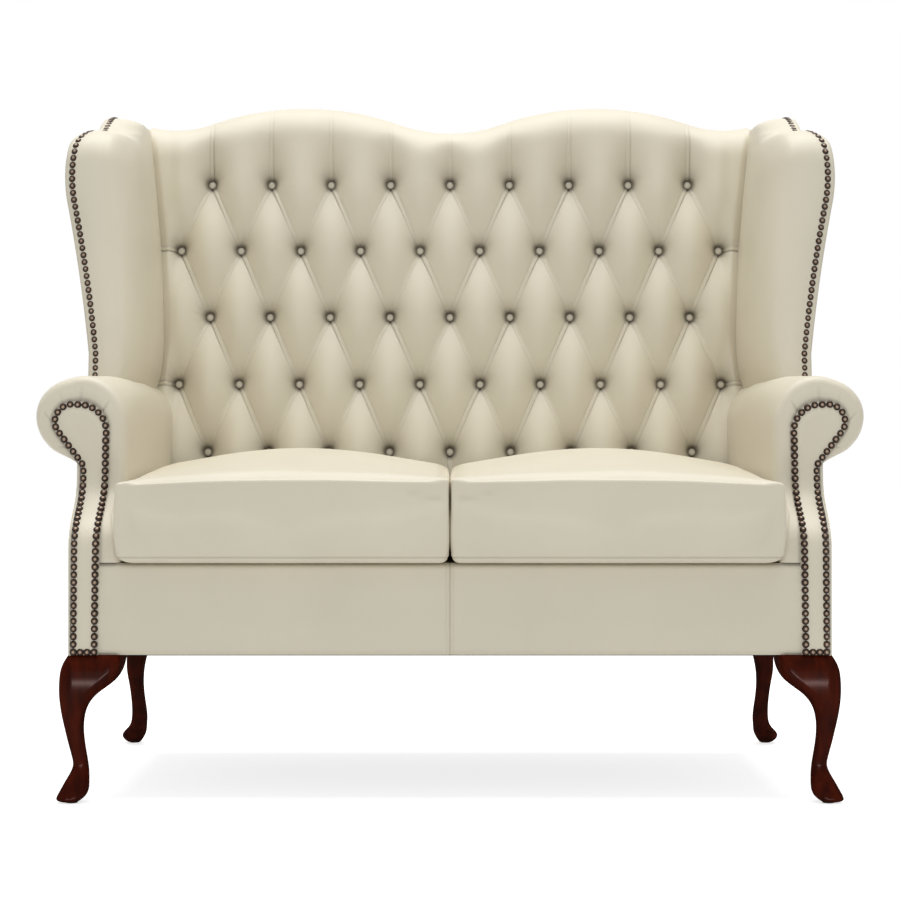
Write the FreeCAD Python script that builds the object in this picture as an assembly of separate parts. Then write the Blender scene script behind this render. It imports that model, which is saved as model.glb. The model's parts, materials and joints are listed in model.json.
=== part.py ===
import FreeCAD, Part
import math
import os

# Two-seat wing settee with scroll arms, a deep-buttoned double-hump back and two loose seat cushions.
# Millimetres. X across, Y back from the front border, Z up from the floor.
# The right half is drawn and mirrored; left is the side on the left of a person facing the front.

V = FreeCAD.Vector

# Heights
BODY_Z = 224.0
RAIL_TOP = 338.0
DECK_TOP = 363.5
CUSHION_Z = 364.0
CUSHION_EDGE_Z = 488.0
ARM_TOP = 651.0

# Arms: roll circle, inside shoulder, outside wall and the sweep of the front
ROLL_X = 580.0
ROLL_Z = 587.0
ROLL_R = 64.0
INNER_X = 497.5
OUTER_X = 579.0
NECK_Z = 516.0
NECK_ANGLE = -60.3
SWEEP_Z = 397.0
SWEEP_RISE = 85.0
SWEEP_SHIFT = 80.0
SWEEP_ANGLE = math.radians(55.0)
COVER_T = 2.5
FACING_OUT = 4.0
FACING_IN = 6.0

# Frame
POST_IN = 525.0
FRAME_X = 569.0
LINING_X = 533.0
LINING_T = 4.0
RAIL_BACK = 42.0
REAR_RAIL_Y = 552.0
REAR_RAIL_T = 32.0

# Back: rake, depth of the button plane at the body underside, layers measured forward of that plane
RAKE = math.radians(9.0)
BUTTON_Y = 482.3
FOAM_REAR = -42.0
FRAME_FRONT = -45.0
FRAME_REAR = -105.0
PANEL_REAR = -118.0
ROW_Z = (1005.0, 886.0, 767.0, 648.0, 529.0)
PITCH = 106.0
BACK_BOTTOM_V = 150.0
CREST_EDGE = -10.0
CREST_PAD_T = 25.0

# Wings
WING_LEAN = 0.0639
WING_FRONT = 240.0
WING_FRONT_LEAN = math.radians(8.0)
WING_SHOULDER_Y = 352.0
WING_SHOULDER_Z = 1063.0
WING_SHOULDER_R = 64.0
WING_TOP_Y = 530.0
WING_TOP_Z = 1112.0
WING_PANEL_T = 8.0
WING_NAIL_IN = 13.0
BOARD_T = 18.0

# Trim
NAIL_R = 5.5
NAIL_H = 3.2
NAIL_PITCH = 11.7
BUTTON_R = 9.0
BUTTON_NECK = 13.9
BUTTON_CLEAR = 2.6

# Cushions
CUSHION_GAP = 1.0
CUSHION_OUT = 495.5
CUSHION_FRONT = -28.0
CUSHION_REAR = 478.0

# Middle of the whole depth, moved to the origin at the end
DEPTH_MID = 360.7

parts = {}


def front(y):
    return lambda a, b: V(a, y, b)


def side(x):
    return lambda a, b: V(x, a, b)


def plan(z):
    return lambda a, b: V(a, b, z)


def path(place, start, steps):
    # Edges from start: a step of two numbers is a line, one of four an arc through its first point.
    edges = []
    here = start
    for step in steps:
        end = step[-2:]
        if len(step) == 2:
            edges.append(Part.LineSegment(place(*here), place(*end)).toShape())
        else:
            edges.append(Part.Arc(place(*here), place(*step[:2]), place(*end)).toShape())
        here = end
    return edges


def outline(place, start, steps):
    return Part.Wire(path(place, start, list(steps) + [start]))


def prism_y(start, steps, y0, y1):
    return Part.Face(outline(front(y0), start, steps)).extrude(V(0, y1 - y0, 0))


def prism_x(start, steps, x0, x1):
    return Part.Face(outline(side(x0), start, steps)).extrude(V(x1 - x0, 0, 0))


def prism_z(start, steps, z0, z1):
    return Part.Face(outline(plan(z0), start, steps)).extrude(V(0, 0, z1 - z0))


def box(x0, x1, y0, y1, z0, z1):
    return Part.makeBox(x1 - x0, y1 - y0, z1 - z0, V(x0, y0, z0))


def mirrored(shape):
    return shape.mirror(V(0, 0, 0), V(1, 0, 0))


def both(name, shape):
    parts["right_" + name] = shape
    parts["left_" + name] = mirrored(shape)


def rod_x(x0, x1, y, z, r):
    return Part.makeCylinder(r, x1 - x0, V(x0, y, z), V(1, 0, 0))


def rod_y(y0, y1, x, z, r):
    return Part.makeCylinder(r, y1 - y0, V(x, y0, z), V(0, 1, 0))


def rod_z(z0, z1, x, y, r):
    return Part.makeCylinder(r, z1 - z0, V(x, y, z0), V(0, 0, 1))


def arc_point(cx, cz, r, degrees):
    a = math.radians(degrees)
    return (cx + r * math.cos(a), cz + r * math.sin(a))


def back_y(z, w):
    # Depth at height z of the raked plane that lies w forward of the button plane.
    return BUTTON_Y + (z - BODY_Z) * math.tan(RAKE) - w / math.cos(RAKE)


def back_point(u, v, w):
    y = BUTTON_Y + v * math.sin(RAKE) - w * math.cos(RAKE)
    return V(u, y, BODY_Z + v * math.cos(RAKE) + w * math.sin(RAKE))


def raked_box(x0, x1, w0, w1, z0, z1):
    # A piece between two raked planes, cut level at its lower and upper ends.
    steps = [(back_y(z0, w0), z0), (back_y(z1, w0), z1), (back_y(z1, w1), z1)]
    return prism_x((back_y(z0, w1), z0), steps, x0, x1)


# Arm fronts: upright below, swept back above the seat
SWEEP_R = SWEEP_RISE * math.sin(SWEEP_ANGLE) - SWEEP_SHIFT * math.cos(SWEEP_ANGLE)
SWEEP_R = SWEEP_R / (2 * (1 - math.cos(SWEEP_ANGLE)))
SWEEP_TOP = SWEEP_Z + SWEEP_RISE


def sweep_depth(z):
    # Depth of the arm front at height z and its slope.
    rise = SWEEP_R * math.sin(SWEEP_ANGLE)
    if z <= SWEEP_Z:
        return 0.0, 0.0
    if z >= SWEEP_TOP:
        return SWEEP_SHIFT, 0.0
    if z - SWEEP_Z < rise:
        h = z - SWEEP_Z
        run = math.sqrt(SWEEP_R ** 2 - h ** 2)
        return SWEEP_R - run, h / run
    if SWEEP_TOP - z < rise:
        h = SWEEP_TOP - z
        run = math.sqrt(SWEEP_R ** 2 - h ** 2)
        return SWEEP_SHIFT - SWEEP_R + run, h / run
    slope = math.tan(SWEEP_ANGLE)
    return SWEEP_R * (1 - math.cos(SWEEP_ANGLE)) + (z - SWEEP_Z - rise) * slope, slope


def sweep_steps(shift):
    angle = math.degrees(SWEEP_ANGLE)
    low = (shift + SWEEP_R, SWEEP_Z)
    high = (shift + SWEEP_SHIFT - SWEEP_R, SWEEP_TOP)
    return [
        (shift, SWEEP_Z),
        arc_point(*low, SWEEP_R, 180 - angle / 2) + arc_point(*low, SWEEP_R, 180 - angle),
        arc_point(*high, SWEEP_R, -angle),
        arc_point(*high, SWEEP_R, -angle / 2) + (shift + SWEEP_SHIFT, SWEEP_TOP),
        (shift + SWEEP_SHIFT, 760.0),
    ]


def arm_zone(shift, w):
    # Everything behind the swept front moved back by shift, as far as the raked plane w.
    steps = sweep_steps(shift) + [(back_y(760.0, w), 760.0), (back_y(200.0, w), 200.0)]
    return prism_x((shift, 200.0), steps, 480.0, 660.0)


def arm_section(d, z0):
    r1 = ROLL_R - d
    r2 = ROLL_X - INNER_X - d
    shoulder_z = ARM_TOP - (ROLL_X - INNER_X)
    steps = [
        (INNER_X + d, shoulder_z),
        arc_point(ROLL_X, shoulder_z, r2, 135) + (ROLL_X, ARM_TOP - d),
        arc_point(ROLL_X, ROLL_Z, r1, 45 + NECK_ANGLE / 2) + arc_point(ROLL_X, ROLL_Z, r1, NECK_ANGLE),
        (OUTER_X, NECK_Z + 1.1 * d),
        (OUTER_X, z0),
    ]
    return prism_y((INNER_X + d, z0), steps, -20.0, 800.0)


back_zone = raked_box(-FRAME_X, FRAME_X, PANEL_REAR - 5, FRAME_FRONT, 200.0, 1086.0)
arm_outer = arm_section(0.0, CUSHION_Z).common(arm_zone(0.0, PANEL_REAR))

# Arm frame: post, rail and lining
arm_post = box(POST_IN, FRAME_X, -20.0, 300.0, BODY_Z, 560.0)
arm_post = arm_post.common(arm_zone(FACING_IN, PANEL_REAR)).cut(arm_zone(56.0, PANEL_REAR - 9))
arm_rail = box(LINING_X + LINING_T, 600.0, 0.0, 760.0, 560.0, 600.0)
arm_rail = arm_rail.common(arm_zone(FACING_IN, FRAME_FRONT))
arm_lining = box(LINING_X, LINING_X + LINING_T, 0.0, 760.0, 300.0, 590.0)
arm_lining = arm_lining.common(arm_zone(56.0, FRAME_FRONT))

# Nailed facing on the arm front: straight below, opening into the scroll above
FACING_Z = BODY_Z + 2.0
FACING_START = (533.0, FACING_Z)
FACING_STEPS = [
    (576.0, FACING_Z),
    (573.5, 509.0),
    (614.0, 563.5),
    (612.5, 596.0, 579.0, 610.5),
    (543.0, 599.0, 527.5, 556.0),
]
facing = prism_y(FACING_START, FACING_STEPS, -40.0, 200.0)
facing = facing.common(arm_zone(-FACING_OUT, PANEL_REAR)).cut(arm_zone(FACING_IN, PANEL_REAR - 9))

# Wings: side outline, outer line seen from the front, and the leaning inner face
WING_RISE = WING_TOP_Z - WING_SHOULDER_Z
WING_RUN = WING_TOP_Y - WING_SHOULDER_Y
WING_TURN = 2 * math.atan(WING_RISE / WING_RUN)
WING_S_R = WING_RUN / 2 / math.sin(WING_TURN)


def wing_top_steps(inset):
    # From the foot of the front edge up over the shoulder and along the rising top.
    r = WING_SHOULDER_R - inset
    lean = math.degrees(WING_FRONT_LEAN)
    centre = (WING_SHOULDER_Y, WING_SHOULDER_Z - WING_SHOULDER_R)
    mid = (WING_SHOULDER_Y + WING_RUN / 2, WING_SHOULDER_Z + WING_RISE / 2 - inset)
    dx = WING_S_R * math.sin(WING_TURN / 2)
    dz = WING_S_R * (1 - math.cos(WING_TURN / 2))
    return [
        arc_point(*centre, r, 180 - lean),
        arc_point(*centre, r, 135 - lean / 2) + (WING_SHOULDER_Y, WING_SHOULDER_Z - inset),
        (WING_SHOULDER_Y + dx, WING_SHOULDER_Z + dz - inset) + mid,
        (WING_TOP_Y - dx, WING_TOP_Z - dz - inset) + (WING_TOP_Y, WING_TOP_Z - inset),
    ]


def wing_foot(inset, z):
    lean = math.degrees(WING_FRONT_LEAN)
    centre = (WING_SHOULDER_Y, WING_SHOULDER_Z - WING_SHOULDER_R)
    top = arc_point(*centre, WING_SHOULDER_R - inset, 180 - lean)
    return (top[0] - (top[1] - z) * math.tan(WING_FRONT_LEAN), z)


def wing_profile(inset, z0, w):
    steps = wing_top_steps(inset)
    steps += [(back_y(WING_TOP_Z - inset, w), WING_TOP_Z - inset), (back_y(z0, w), z0)]
    return prism_x(wing_foot(inset, z0), steps, 480.0, 660.0)


def wing_outer_steps(d):
    return [
        (591.0 - d, 652.0),
        (604.5 - d, 800.0, 628.0 - d, 943.0),
        (632.0 - d, 986.0, 629.0 - d, 1025.0),
        (620.5 - d, 1051.0, 598.0 - d, 1068.0),
        (582.0 - d, 1125.0),
    ]


def wing_inner_x(z):
    return INNER_X + 0.5 + WING_LEAN * max(0.0, z - 648.0)


def board_x(z):
    return 543.0 + 0.0225 * (z - 600.0)


wing_front_view = [(wing_inner_x(1125.0), 1125.0), (wing_inner_x(648.0), 648.0), (wing_inner_x(648.0), 560.0)]
wing_pad_view = prism_y((591.0 - WING_PANEL_T, 560.0), wing_outer_steps(WING_PANEL_T) + wing_front_view, 0.0, 800.0)
wing_full_view = prism_y((591.0, 560.0), wing_outer_steps(0.0) + wing_front_view, 0.0, 800.0)

board_view = [(board_x(1125.0), 1125.0), (board_x(1125.0) + BOARD_T, 1125.0), (board_x(600.0) + BOARD_T, 600.0)]
board_view = prism_y((board_x(600.0), 600.0), board_view, 0.0, 800.0)
wing_board = wing_profile(24.0, 600.0, FRAME_FRONT).common(board_view)

wing_pad = wing_profile(0.0, 560.0, FRAME_REAR).common(wing_pad_view)
nose = []
for edge in wing_pad.Edges:
    box_e = edge.BoundBox
    on_inner = all(abs(p.x - wing_inner_x(p.z)) < 0.2 for p in edge.discretize(5))
    if on_inner and box_e.YMax < WING_TOP_Y + 1 and box_e.ZMin > 600.0:
        nose.append(edge)
    elif on_inner and box_e.YMax < 300.0 and box_e.ZLength > 50.0:
        nose.append(edge)
try:
    wing_pad = wing_pad.makeFillet(26.0, nose)
except Exception as error:
    print("wing nose left square:", error)
wing_pad = wing_pad.cut(arm_outer).cut(wing_board).cut(back_zone)
outside_wing = wing_profile(0.0, 560.0, PANEL_REAR).common(wing_full_view).cut(wing_pad_view).cut(arm_outer)

# Arm upholstery
arm_pad = arm_section(COVER_T + 0.4, CUSHION_Z + 0.5).common(arm_zone(COVER_T + 0.4, PANEL_REAR))
arm_pad = arm_pad.cut(box(LINING_X, FRAME_X, -20.0, 800.0, 300.0, 560.0))
arm_pad = arm_pad.cut(box(FRAME_X, 600.0, -20.0, 800.0, 300.0, NECK_Z))
for piece in (arm_post, arm_rail, arm_lining, facing, back_zone, wing_board):
    arm_pad = arm_pad.cut(piece)
arm_cover = arm_outer.cut(arm_section(COVER_T, CUSHION_Z - 9).common(arm_zone(COVER_T, PANEL_REAR - 9)))
for piece in (facing, back_zone, wing_board):
    arm_cover = arm_cover.cut(piece)
outside_arm = box(FRAME_X, OUTER_X, -20.0, 800.0, BODY_Z, NECK_Z)
outside_arm = outside_arm.common(arm_zone(COVER_T, PANEL_REAR)).cut(facing)

# Seat and back frame
side_rail = box(LINING_X + LINING_T, FRAME_X, 0.0, 700.0, BODY_Z, RAIL_TOP).common(arm_zone(56.0, FRAME_FRONT))
back_post = raked_box(524.0, FRAME_X, FRAME_REAR, FRAME_FRONT, BODY_Z, 1085.0)
front_rail = box(-POST_IN, POST_IN, FACING_IN, RAIL_BACK, BODY_Z, RAIL_TOP)
rear_rail = box(-524.0, 524.0, REAR_RAIL_Y, REAR_RAIL_Y + REAR_RAIL_T, BODY_Z, RAIL_TOP)
centre_rail = box(-16.0, 16.0, RAIL_BACK, REAR_RAIL_Y, BODY_Z, 320.0)
front_block = [(425.0, RAIL_BACK), (537.0, 154.0), (537.0, 56.0), (525.0, 56.0)]
front_block = prism_z((525.0, RAIL_BACK), front_block, BODY_Z, 274.0)
rear_block = [(424.0, REAR_RAIL_Y), (537.0, 439.0), (537.0, 527.0), (524.0, 527.0)]
rear_block = prism_z((524.0, REAR_RAIL_Y), rear_block, BODY_Z, 274.0)


def crest_steps(drop):
    # The double hump, left to right, after a start at the left end.
    half = [(478.0, 1110.4), (429.0, 1120.6), (260.0, 1150.0), (90.0, 1120.2)]
    return [
        (-half[0][0], half[0][1] - drop, -half[1][0], half[1][1] - drop),
        (-half[2][0], half[2][1] - drop, -half[3][0], half[3][1] - drop),
        (0.0, 1104.4 - drop, half[3][0], half[3][1] - drop),
        (half[2][0], half[2][1] - drop, half[1][0], half[1][1] - drop),
        (half[0][0], half[0][1] - drop, 528.0, 1114.0 - drop),
    ]


def crest_z(x):
    a = abs(x)
    if a < 90.0:
        return 1104.4 + 264.0 - math.sqrt(264.0 ** 2 - a ** 2)
    if a < 429.0:
        return 650.0 + math.sqrt(500.0 ** 2 - (a - 260.0) ** 2)
    return 1291.0 - math.sqrt(181.0 ** 2 - (a - 490.0) ** 2)


def crest_prism(drop, x, z0):
    start = (-528.0, 1114.0 - drop)
    whole = prism_y(start, crest_steps(drop) + [(528.0, z0), (-528.0, z0)], 500.0, 800.0)
    return whole.common(box(-x, x, 500.0, 800.0, z0, 1200.0))


back_slab = raked_box(-700.0, 700.0, FRAME_REAR, FRAME_FRONT, 200.0, 1200.0)
crest_rail = crest_prism(CREST_PAD_T, 524.0, 1000.0).common(raked_box(-600.0, 600.0, -80.0, FRAME_FRONT, 900.0, 1200.0))
crest_pad = crest_prism(0.0, 525.5, 1070.0).common(raked_box(-600.0, 600.0, FRAME_REAR, FOAM_REAR, 900.0, 1200.0))
crest_pad = crest_pad.cut(crest_prism(CREST_PAD_T - 0.01, 528.0, 900.0))
lower_back_rail = raked_box(-524.0, 524.0, -80.0, FRAME_FRONT, 372.0, 432.0)
back_upright = raked_box(-22.0, 22.0, -80.0, -47.0, 432.0, 1000.0)

# Outside back, up between the wing panels to the crest
upper = wing_outer_steps(WING_PANEL_T)
edge_x = upper[-1][0] + (1125.0 - WING_TOP_Z) * 0.2
right_edge = [upper[0]] + upper[1:4] + [(edge_x, WING_TOP_Z)]
left_edge = []
points = [s[-2:] for s in right_edge]
for i in range(len(right_edge) - 1, 0, -1):
    step = right_edge[i]
    back_to = (-points[i - 1][0], points[i - 1][1])
    left_edge.append(back_to if len(step) == 2 else (-step[0], step[1]) + back_to)
top_edge = []
for step in crest_steps(0.0)[:4]:
    top_edge.append((-step[0], step[1], -step[2], step[3]))
last = crest_steps(0.0)[4]
top_edge.append((-last[0], last[1], -528.0, 1114.0))
panel = [(FRAME_X, BODY_Z), (FRAME_X, 652.0)] + right_edge + [(528.0, 1114.0)] + top_edge
panel += [(-edge_x, WING_TOP_Z)] + left_edge + [(-FRAME_X, 652.0)]
outside_back = prism_y((-FRAME_X, BODY_Z), panel, 500.0, 800.0)
outside_back = outside_back.common(raked_box(-700.0, 700.0, PANEL_REAR, FRAME_REAR, 200.0, 1200.0))

# Dowels between rails and posts, and screws through the corner blocks
dowels = [rod_x(500.0, 550.0, 24.0, z, 4.0) for z in (255.0, 305.0)]
dowels += [rod_x(500.0, 550.0, 568.0, z, 4.0) for z in (286.0, 318.0)]
dowels += [rod_y(32.0, 82.0, 553.0, 280.0, 4.0), rod_y(510.0, 560.0, 553.0, 280.0, 4.0)]
dowels += [rod_z(535.0, 585.0, 550.0, 111.0, 4.0), rod_y(560.0, 608.0, 553.0, 580.0, 4.0)]
dowels += [rod_x(500.0, 550.0, back_y(z, -62.0), z, 4.0) for z in (402.0, 1040.0)]
screws = [rod_y(16.0, 91.0, 475.0, 249.0, 2.4), rod_x(487.5, 560.0, 104.5, 249.0, 2.4)]
screws += [rod_y(501.5, 578.0, 475.0, 249.0, 2.4), rod_x(487.5, 560.0, 489.0, 249.0, 2.4)]
bolts = [rod_z(180.0, 264.0, 541.0, 38.0, 4.0), rod_z(180.0, 264.0, 549.0, 570.0, 4.0)]


def drilled(shape, rods):
    # Holes a little wider than the rods that pass into the shape, on both sides of the middle.
    for rod in rods:
        spine = rod.Faces[0].Surface
        wide = Part.makeCylinder(spine.Radius + 0.1, rod.Volume / (math.pi * spine.Radius ** 2) + 0.2)
        wide.Placement = FreeCAD.Placement(V(0, 0, 0), FreeCAD.Rotation(V(0, 0, 1), spine.Axis))
        wide.translate(rod.CenterOfMass - wide.CenterOfMass)
        for hole in (wide, mirrored(wide)):
            if hole.BoundBox.intersect(shape.BoundBox):
                shape = shape.cut(hole)
    return shape


fixings = dowels + screws + bolts
arm_post = drilled(arm_post, fixings)
arm_rail = drilled(arm_rail, dowels)
side_rail = drilled(side_rail, fixings)
back_post = drilled(back_post, fixings)
both("arm_post", arm_post)
both("arm_rail", arm_rail)
both("arm_lining", arm_lining)
both("seat_rail", side_rail)
both("back_post", back_post)
both("wing_board", wing_board)
both("arm_pad", arm_pad)
both("arm_cover", arm_cover)
both("outside_arm", outside_arm)
both("arm_facing", facing)
both("wing_pad", wing_pad)
both("outside_wing", outside_wing)
parts["front_seat_rail"] = drilled(front_rail, fixings)
parts["rear_seat_rail"] = drilled(rear_rail, fixings)
parts["centre_seat_rail"] = centre_rail
parts["crest_rail"] = drilled(crest_rail, dowels)
parts["lower_back_rail"] = drilled(lower_back_rail, dowels)
parts["back_upright"] = back_upright
parts["crest_pad"] = crest_pad
parts["outside_back"] = outside_back
blocks = [drilled(front_block, screws), drilled(rear_block, screws)]
parts["corner_blocks"] = Part.makeCompound(blocks + [mirrored(b) for b in blocks])
parts["frame_dowels"] = Part.makeCompound(dowels + [mirrored(d) for d in dowels])
parts["block_screws"] = Part.makeCompound(screws + [mirrored(s) for s in screws])
parts["leg_bolts"] = Part.makeCompound(bolts + [mirrored(b) for b in bolts])

# Seat suspension: zig-zag springs held by clips on the rails, hessian, deck pad
SPRING_X = (60.0, 180.0, 300.0, 420.0)
WIRE_R = 1.9
WIRE_Z = 341.5
LOOPS = 28
LOOP_R = (REAR_RAIL_Y - RAIL_BACK) / (LOOPS + 1) / 2
LOOP_W = 16.0


def spring(x):
    # One wire in a level zig-zag: cross bars joined by half-turns, with a short lead at each end.
    bend = 4.0
    turn = bend * math.sqrt(0.5)
    h = LOOP_R * math.sqrt(0.5)
    y = RAIL_BACK + LOOP_R
    lead = (x, RAIL_BACK)
    steps = [(x, y - bend), (x - bend + turn, y - bend + turn, x - bend, y)]
    sign = -1
    for i in range(LOOPS):
        cx = x + sign * LOOP_W
        steps.append((cx, y))
        steps.append((cx + sign * h, y + LOOP_R - h, cx + sign * LOOP_R, y + LOOP_R))
        steps.append((cx + sign * h, y + LOOP_R + h, cx, y + 2 * LOOP_R))
        y += 2 * LOOP_R
        sign = -sign
    steps.append((x - sign * bend, y))
    steps.append((x - sign * (bend - turn), y + bend - turn, x, y + bend))
    steps.append((x, REAR_RAIL_Y))
    wire = Part.Wire(path(plan(WIRE_Z), lead, steps))
    ring = Part.Wire(Part.makeCircle(WIRE_R, V(x, RAIL_BACK, WIRE_Z), V(0, 1, 0)))
    return wire.makePipeShell([ring], True, True)


one = spring(0.0)
springs = []
clips = []
for x in SPRING_X:
    for s in (-1, 1):
        copy = one.copy()
        copy.translate(V(s * x, 0, 0))
        springs.append(copy)
        clips.append(box(s * x - 14.0, s * x + 14.0, 24.0, RAIL_BACK, RAIL_TOP, 346.0))
        clips.append(box(s * x - 14.0, s * x + 14.0, REAR_RAIL_Y, 570.0, RAIL_TOP, 346.0))
parts["seat_springs"] = Part.makeCompound(springs)
parts["spring_clips"] = Part.makeCompound(clips)
parts["seat_hessian"] = box(-494.0, 494.0, 8.0, 545.0, 346.0, 347.5)
parts["seat_deck_pad"] = box(-494.0, 494.0, FACING_IN, 545.0, 347.5, DECK_TOP)
parts["front_border"] = box(-530.0, 530.0, 0.0, FACING_IN, BODY_Z, DECK_TOP)
straps = [raked_box(x - 25.0, x + 25.0, FRAME_FRONT, -43.0, 376.0, 1066.0) for x in
          (-455.0, -325.0, -195.0, -65.0, 65.0, 195.0, 325.0, 455.0)]
parts["back_webbing"] = Part.makeCompound(straps)

# Buttoned back: staggered rows of buttons, pleats between them, crowned diamonds
rows = []
for i, z in enumerate(ROW_Z):
    count = 9 if i % 2 == 0 else 10
    v = (z - BODY_Z) / math.cos(RAKE)
    rows.append([((j - (count - 1) / 2) * PITCH, v) for j in range(count)])
ROW_V = [row[0][1] for row in rows]


def top_v(u):
    return (crest_z(u) - BODY_Z - CREST_EDGE * math.sin(RAKE)) / math.cos(RAKE)


def side_u(v):
    if v < ROW_V[3]:
        return 495.0 + 1.5 * (v - BACK_BOTTOM_V) / (ROW_V[3] - BACK_BOTTOM_V)
    return 496.5 + (526.0 - 496.5) * (v - ROW_V[3]) / (top_v(526.0) - ROW_V[3])


pleats = []
for upper_row, lower_row in zip(rows, rows[1:]):
    for a in upper_row:
        for b in lower_row:
            if abs(abs(a[0] - b[0]) - PITCH / 2) < 1:
                pleats.append((a, b))
pleats += [(b, (b[0], top_v(b[0]))) for b in rows[0]]
pleats += [(b, (b[0], BACK_BOTTOM_V)) for b in rows[4]]
for row in (rows[1], rows[3]):
    for b in (row[0], row[-1]):
        pleats.append((b, (math.copysign(side_u(b[1]), b[0]), b[1])))
buttons = [b for row in rows for b in row]


def smooth(d, a, b):
    t = min(1.0, max(0.0, (d - a) / (b - a)))
    return t * t * (3 - 2 * t)


def segment_distance(p, a, b):
    dx = b[0] - a[0]
    dy = b[1] - a[1]
    t = ((p[0] - a[0]) * dx + (p[1] - a[1]) * dy) / (dx * dx + dy * dy)
    t = min(1.0, max(0.0, t))
    return math.hypot(p[0] - a[0] - t * dx, p[1] - a[1] - t * dy)


PIT_POLE = 9.0
PLEAT_POLE = 34.0
CROWN_POLE = 66.0


def pole_height(u, v):
    # Height of a control point: nothing at a button, low along a pleat, high in a diamond.
    near_button = min(math.hypot(u - b[0], v - b[1]) for b in buttons)
    near_pleat = min(segment_distance((u, v), a, b) for a, b in pleats)
    h = PLEAT_POLE + (CROWN_POLE - PLEAT_POLE) * smooth(near_pleat, 0.0, 40.0)
    h = h * smooth(near_button, 20.0, 62.0) - PIT_POLE * (1 - smooth(near_button, 0.0, 20.0))
    f = smooth(top_v(max(-526.0, min(526.0, u))) - v, 0.0, 80.0)
    h = CREST_EDGE + (h - CREST_EDGE) * f
    f = smooth(side_u(v) - abs(u), 0.0, 26.0)
    h = 10.0 + (h - 10.0) * f
    f = smooth(v - BACK_BOTTOM_V, 0.0, 260.0)
    return 4.0 + (h - 4.0) * f


def line_poles(a, b):
    return [(a[0] + (b[0] - a[0]) * k / 4, a[1] + (b[1] - a[1]) * k / 4) for k in range(5)]


quads = []
for r in (0, 1, 2):
    for u, v in rows[r]:
        if abs(u) < 430.0:
            quads.append(((u, v), (u + PITCH / 2, ROW_V[r + 1]), (u, ROW_V[r + 2]), (u - PITCH / 2, ROW_V[r + 1])))
for row, near, edge_v in ((rows[1], 0, top_v), (rows[3], 4, lambda u: BACK_BOTTOM_V)):
    for u, v in row:
        for s in (-1, 1):
            n = u + s * PITCH / 2
            if abs(n) < 430.0:
                low = (n, ROW_V[near])
                end = (n, edge_v(n))
            else:
                low = (s * side_u(v), v)
                end_u = 526.0 if near == 0 else 495.0
                end = (s * end_u, edge_v(end_u))
            quads.append(((u, v), low, end, (u, edge_v(u))))
for s in (-1, 1):
    f = (s * 424.0, ROW_V[2])
    m = (s * side_u(ROW_V[2]), ROW_V[2])
    for r in (1, 3):
        b = (s * 477.0, ROW_V[r])
        quads.append((f, b, (s * side_u(ROW_V[r]), ROW_V[r]), m))


def tuft_face(quad, drop):
    poles = []
    for p, q in zip(line_poles(quad[0], quad[3]), line_poles(quad[1], quad[2])):
        poles.append([back_point(u, v, pole_height(u, v) - drop) for u, v in line_poles(p, q)])
    surface = Part.BSplineSurface()
    surface.buildFromPolesMultsKnots(poles, (5, 5), (5, 5), (0.0, 1.0), (0.0, 1.0), False, False, 4, 4)
    return surface.toShape()


def tuft_edge(a, b, drop):
    curve = Part.BezierCurve()
    curve.setPoles([back_point(u, v, pole_height(u, v) - drop) for u, v in line_poles(a, b)])
    return curve.toShape()


def rim():
    # Outer edges of the buttoned field: those that belong to one patch only.
    count = {}
    for quad in quads:
        for a, b in zip(quad, quad[1:] + quad[:1]):
            ends = tuple(sorted(((round(a[0], 3), round(a[1], 3)), (round(b[0], 3), round(b[1], 3)))))
            count.setdefault(ends, []).append((a, b))
    return [found[0] for found in count.values() if len(found) == 1]


def closed_solid(faces):
    shell = Part.makeShell(faces)
    shell.sewShape()
    solid = Part.Solid(Part.Shell(shell.Faces))
    if solid.Volume < 0:
        solid.reverse()
    return solid


edge_ring = rim()
cover_faces = [tuft_face(q, 0.0) for q in quads] + [tuft_face(q, COVER_T) for q in quads]
cover_faces += [Part.makeRuledSurface(tuft_edge(a, b, 0.0), tuft_edge(a, b, COVER_T)) for a, b in edge_ring]
parts["tufted_back_cover"] = closed_solid(cover_faces)
foam_faces = [tuft_face(q, COVER_T + 0.5) for q in quads]
rear_lines = [Part.LineSegment(back_point(*a, FOAM_REAR), back_point(*b, FOAM_REAR)).toShape() for a, b in edge_ring]
for (a, b), line in zip(edge_ring, rear_lines):
    foam_faces.append(Part.makeRuledSurface(tuft_edge(a, b, COVER_T + 0.5), line))
foam_faces.append(Part.Face(Part.Wire(Part.sortEdges(rear_lines)[0])))
parts["back_foam"] = closed_solid(foam_faces)

# Covered buttons: a shallow dome on a short rim, held down by a neck
def dome(radius, height):
    ball = (radius ** 2 + height ** 2) / (2 * height)
    low = math.degrees(math.asin(1 - height / ball))
    return Part.makeSphere(ball, V(0, 0, height - ball), V(0, 0, 1), low, 90, 360)


cap = dome(BUTTON_R, 4.0)
cap.translate(V(0, 0, BUTTON_NECK + 1.4))
rim_disc = rod_z(BUTTON_NECK, BUTTON_NECK + 1.4, 0.0, 0.0, BUTTON_R)
button = rim_disc.fuse([cap, rod_z(0.0, BUTTON_NECK, 0.0, 0.0, 2.5)]).removeSplitter()
button.rotate(V(0, 0, 0), V(1, 0, 0), 90 - math.degrees(RAKE))
caps = []
for u, v in buttons:
    copy = button.copy()
    copy.translate(back_point(u, v, pole_height(u, v) + BUTTON_CLEAR))
    caps.append(copy)
parts["tuft_buttons"] = Part.makeCompound(caps)


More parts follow.
